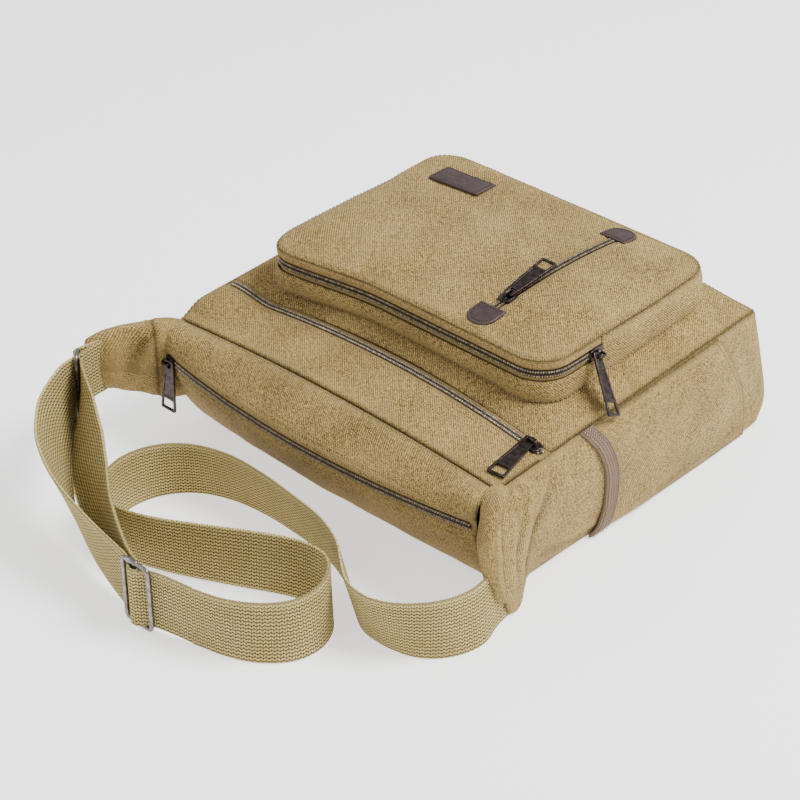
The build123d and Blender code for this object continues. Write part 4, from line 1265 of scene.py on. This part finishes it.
leather_patch("face_zip_leather_near", tab_outline(FACE_ZIP_START + 4, -1), "face_zip_tab_near", seed=71)
leather_patch("face_zip_leather_far", tab_outline(FACE_ZIP_END - 4, 1), "face_zip_tab_far", seed=75)


def label_motif(dx, dy):
    """A pressed lozenge between two short pressed bars."""
    lozenge = np.abs(np.abs(dx) / 7.0 + np.abs(dy) / 5.0 - 1.0)
    bars = np.exp(-((dy / 0.7) ** 2)) * (np.abs(np.abs(dx) - 14.0) < 4.5)
    return -0.4 * np.exp(-((lozenge * 5.5) ** 2)) - 0.35 * bars


label_turn = np.array([[cos(radians(4.5)), -sin(radians(4.5))], [sin(radians(4.5)), cos(radians(4.5))]])
label_outline = np.array(rounded([(-25.5, -13.5), (25.5, -13.5), (25.5, 13.5), (-25.5, 13.5)], 2.4)) @ label_turn.T
label_outline = resample(np.vstack([label_outline, label_outline[:1]]) + [-85, 159], 157)[:-1]
leather_patch("label_leather", label_outline, "label_patch", 1.8, 2.1, label_motif, 79)

# ---------------------------------------------------------------- strap
LOOP_ROUTE = [
    (186, -158), (187, -173), (194, -193), (192, -211), (185, -227), (173, -240), (158, -248), (141, -252),
    (122, -250), (104, -238), (84, -222),
    (55, -209), (18, -203), (-22, -200), (-60, -203), (-90, -216), (-108, -240), (-112, -270), (-98, -298),
    (-70, -311), (-40, -302), (-8, -286), (28, -265), (62, -247), (88, -243), (106, -256), (115, -277),
    (112, -300), (94, -320), (72, -331), (58, -334.6),
]
LEG_ROUTE = [
    (44, -338.2), (29, -342.5), (15, -346.2), (3.5, -357.6), (-8, -346.2), (-26, -344.5),
    (-58, -342), (-95, -334), (-128, -318), (-156, -293), (-176, -264), (-183.6, -251.6), (-182.6, -245.6),
    (-176.4, -246.2), (-172, -253), (-150, -272), (-120, -292), (-92, -309), (-62, -324), (-36, -333.5),
    (-14, -341.2), (5, -346.6),
]
# How far the webbing's top leans out of upright at each point of the loop on the floor, in degrees
LEANS = [2, 4, 7, 5, 2, -3, -10, -15, -15, -13, -12, -13, -15, -13, -10, -7, -3, 1, 4, 5, 4, 0, -4, -5, -2, 3, 6, 6,
         4, 1, 0]
# The same for the two legs, whose tops spread apart between the adjuster and the ring
LEANS += [0, 0, 0, 0, 0, -3, -10, -20, -28, -27, -12, 0, 0, 0, -6, -24, -32, -26, -12, -4, 0, 0]
route = [(px, py, 25.0) for px, py in LOOP_ROUTE]
route += [(px, py, 25.0 + np.interp(-px, [-58, -24, 16, 168], [0, 3.8, 3.8, 50.2])) for px, py in LEG_ROUTE]
line = bpy.data.curves.new("strap_line", "CURVE")
line.dimensions = "3D"
spline = line.splines.new("NURBS")
spline.points.add(len(route) - 1)
for point, (px, py, pz) in zip(spline.points, route):
    point.co = (px * MM, py * MM, pz * MM, 1)
spline.order_u, spline.use_endpoint_u, spline.resolution_u = 3, True, 10
holder = bpy.data.objects.new("strap_line", line)
bpy.context.scene.collection.objects.link(holder)
bpy.context.view_layer.update()
strap_path = np.array([v.co for v in bpy.data.meshes.new_from_object(holder).vertices]) / MM
bpy.data.objects.remove(holder)
strap_length = float(np.linalg.norm(np.diff(strap_path, axis=0), axis=1).sum())


def ribbon_mesh(name, path, width=50.0, thickness=2.3, lean=None, foot=None, pitch=0.8, scallop=0.35):
    """Webbing on edge along a path: a flat closed section with soft edges, scalloped like its weave."""
    total = np.linalg.norm(np.diff(path, axis=0), axis=1).sum()
    lean = np.zeros(len(path)) if lean is None else lean
    full = resample(np.column_stack([path, lean]), int(total / pitch))
    p, lean = full[:, :3], np.radians(full[:, 3])
    t = np.gradient(p, axis=0)
    t[:, 2] = 0
    t /= np.linalg.norm(t, axis=1, keepdims=True)
    side = np.stack([t[:, 1], -t[:, 0], np.zeros(len(t))], 1)
    up = np.stack([side[:, 0] * np.sin(lean), side[:, 1] * np.sin(lean), np.cos(lean)], 1)
    face_ = np.cross(t, up)
    s = np.linspace(0, total, len(p))
    heights = np.linspace(-0.5, 0.5, 19)
    half = thickness / 2
    section = [(h * (width - 1.2), half) for h in heights]
    section += [(width / 2, half * 0.55), (width / 2 + 0.25, 0.0), (width / 2, -half * 0.55)]
    section += [(h * (width - 1.2), -half) for h in heights[::-1]]
    section += [(-width / 2, -half * 0.55), (-width / 2 - 0.25, 0.0), (-width / 2, half * 0.55)]
    section = np.array(section)
    wave = scallop * np.abs(np.sin(pi * s / 2.5))
    ripple = 0.5 * np.array([noise.noise(Vector((a / 26.0, 3.3, 0.0))) for a in s])
    verts = np.zeros((len(p), len(section), 3))
    v = np.zeros((len(p), len(section)))
    for k, (h, d) in enumerate(section):
        edge = np.clip((abs(h) - width / 2 + 1.5) / 1.5, 0, 1) * np.sign(h)
        cup = 0.5 * (abs(h) / (width / 2)) ** 3
        verts[:, k] = p + up * (h + edge * wave)[:, None] + face_ * (d + ripple * cup)[:, None]
        v[:, k] = h + (0 if d >= 0 else 1.7)
    if foot is not None:
        low = verts[..., 2].min(axis=1)
        raise_ = np.where(p[:, 2] < foot + 26, foot - low, 0.0)
        verts[..., 2] += raise_[:, None]
    u = np.broadcast_to(s[:, None], v.shape)
    edge_wear = np.clip(np.abs(v) / (width / 2) - 0.86, 0, 0.14) / 0.14
    ring_ = len(section)
    faces = grid_faces(len(p), ring_, closed=True)
    faces += [tuple(range(ring_)), tuple(reversed(range((len(p) - 1) * ring_, len(p) * ring_)))]
    return new_mesh(name, verts.reshape(-1, 3), faces, np.stack([u, v], -1).reshape(-1, 2), {"wear": edge_wear})


stations = np.linspace(0, 1, len(route))
along_path = distances(strap_path)
route_lengths = np.concatenate([[0], np.cumsum(np.linalg.norm(np.diff(np.array(route), axis=0), axis=1))])
lean_stations = route_lengths[:len(LEANS)] / route_lengths[-1] * along_path[-1]
strap_lean = np.interp(along_path, lean_stations, LEANS)
strap = ribbon_mesh("strap_webbing", strap_path, lean=strap_lean, foot=0.05)
finish_piece(strap, webbing, ["shoulder_strap", "shoulder_strap_ring_end"])

# The short doubled webbing from the left tab round the ring
ring_x, ring_y = -189.0, -240.0
loop_line = [(-190.5, -216, 76), (-191.6, -226, 76), (-192.6, -238, 76)]
loop_line += [(ring_x + 3.4 * cos(a), ring_y + 3.4 * sin(a), 76)
              for a in np.radians([185, 215, 245, 270, 295, 325, 355])]
loop_line += [(-186.6, -236, 76), (-188.6, -226, 76), (-189.3, -216, 76)]
ring_webbing = ribbon_mesh("ring_webbing", smooth_line(loop_line, 80), width=46.5, thickness=1.8)
finish_piece(ring_webbing, webbing, ["ring_loop"])


def bead(x, y, z, radius, half, vertical=True):
    """A smooth barrel of joined wire."""
    steps = np.linspace(-1, 1, 13)
    swell = radius * np.sqrt(np.clip(1 - np.abs(steps) ** 3.2, 0.0, 1))
    if vertical:
        points = [(x, y, z + half * s) for s in steps]
    else:
        points = [(x + half * s, y, z) for s in steps]
    return tube(points, np.maximum(swell, 0.3), 16)


ox, oy = -179.2, -250.2
low, high = 48.25, 102.25
ring_path = rounded_path([(ring_x, ring_y, low), (ring_x, ring_y, high), (ox, oy, high), (ox, oy, low)], 4.5)
ring_parts = [tube(ring_path, WIRE, 14, closed=True), bead(ox, oy, low + 54 * 0.72, 2.6, 9.0)]
verts, faces = joined(ring_parts)
ring_metal = finish_piece(new_mesh("strap_ring_metal", verts, faces), worn_gunmetal, ["strap_ring"])
base, top = 1.8, 55.8
bars = [ADJUSTER_X - 13.5, ADJUSTER_X + 13.5]
adjuster_path = rounded_path([(bars[0], ADJUSTER_Y, base), (bars[0], ADJUSTER_Y, top), (bars[1], ADJUSTER_Y, top),
                              (bars[1], ADJUSTER_Y, base)], 4.5)
verts, faces = joined([tube(adjuster_path, WIRE, 14, closed=True), bead(-1.5, ADJUSTER_Y, top, 2.3, 5.0, False)])
adjuster_metal = finish_piece(new_mesh("adjuster_frame_metal", verts, faces), worn_gunmetal,
                              ["adjuster_frame"])
verts, faces = joined([tube([(ADJUSTER_X, ADJUSTER_Y, z) for z in np.linspace(base, top, 12)], WIRE, 14),
                       bead(ADJUSTER_X, ADJUSTER_Y, top, 2.5, 2.6),
                       bead(ADJUSTER_X, ADJUSTER_Y, base + 1.2, 2.4, 2.4)])
bar_metal = finish_piece(new_mesh("adjuster_bar_metal", verts, faces), worn_gunmetal, ["adjuster_bar"])

# ---------------------------------------------------------------- stitching
for panel, sides in ((front_upper, "swne"), (front_strip, "new"), (top_front, "sn"), (top_back, "n"), (bottom, "snew"),
                     (plain_band, "sn"), (lower_band, "ns")):
    for side in sides:
        stitch(*panel.line(side, 2.4))
for panel, side in ((front_upper, "s"), (front_strip, "n"), (top_front, "s"), (top_back, "n"), (lower_band, "n"),
                    (front_upper, "n")):
    stitch(*panel.line(side, 7.6))
for side in ("right", "left"):
    stitch(*gussets[side].line("n", 2.4))
    stitch(*pockets[side].line("e" if side == "right" else "w", 2.4))
    stitch(*pockets[side].line("e" if side == "right" else "w", 7.0))
stitch(*upper_band.line("n", 2.0))
for side in (1, -1):
    for inset in (2.2, 7.4):
        column_x = FACE_ZIP_X + side * (ZIP_EDGE + inset)
        run = np.column_stack([np.full(60, column_x), run_y, face_height(column_x, run_y) + 0.15])
        stitch(in_pocket(run), face_out)
edge_run = pocket_ring(3.6, 400)
edge_z = face_surface(edge_run[:, 0], edge_run[:, 1])[0] + 0.2
stitch(in_pocket(flare(np.column_stack([edge_run, edge_z]))), np.tile(pocket_turn @ np.array([0, 0, 1.0]), (400, 1)))
rows = new_mesh("khaki_stitches", STITCHES["verts"], STITCHES["faces"])
finish_piece(rows, thread)
rows = new_mesh("leather_stitches", LEATHER_THREAD["verts"], LEATHER_THREAD["faces"])
finish_piece(rows, dark_thread)

for node in ("main_lining", "slip_pocket_lining", "face_pocket_lining"):
    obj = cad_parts[node]
    obj.data.materials.clear()
    obj.data.materials.append(lining_cloth)

# ---------------------------------------------------------------- floor, light, camera
GLOW = {"Emission Color": (1, 1, 1, 1), "Emission Strength": 1.0}
FLOOR_REACH = 6000
floor_material = Nodes("white_floor").finish((0.9, 0.9, 0.9, 1.0), 0.9, **GLOW)
floor_corners = [(-1, -1), (1, -1), (1, 1), (-1, 1)]
floor = new_mesh("floor", [(a * FLOOR_REACH, b * FLOOR_REACH, -0.05) for a, b in floor_corners], [(0, 1, 2, 3)])
floor.data.materials.append(floor_material)


def area_light(name, place, target, size, power, colour=(1, 1, 1)):
    data = bpy.data.lights.new(name, "AREA")
    data.shape, data.size, data.energy, data.color = "DISK", size, power, colour
    lamp = bpy.data.objects.new(name, data)
    bpy.context.scene.collection.objects.link(lamp)
    lamp.location = place
    lamp.rotation_euler = (Vector(target) - Vector(place)).to_track_quat("-Z", "Y").to_euler()
    return lamp


area_light("key", (1.1, 0.7, 1.9), (0, -0.05, 0.05), 1.1, 84)
area_light("fill", (-1.4, -1.5, 1.2), (0, -0.1, 0.05), 1.6, 14)
world = bpy.data.worlds.new("studio")
world.use_nodes = True
world.node_tree.nodes["Background"].inputs[0].default_value = (1, 1, 1, 1)
world.node_tree.nodes["Background"].inputs[1].default_value = 0.8
bpy.context.scene.world = world

azimuth, elevation, distance = radians(43.8), radians(33.4), 1.801
target = Vector((-0.065, -0.0081, 0.0))
away = Vector((sin(azimuth) * cos(elevation), -cos(azimuth) * cos(elevation), sin(elevation)))
camera_data = bpy.data.cameras.new("camera")
camera_data.lens, camera_data.sensor_width = 97.2, 36.0
camera = bpy.data.objects.new("camera", camera_data)
bpy.context.scene.collection.objects.link(camera)
camera.location = target + away * distance
camera.rotation_euler = (-away).to_track_quat("-Z", "Y").to_euler()
bpy.context.scene.camera = camera

print("strap line", round(strap_length, 1))
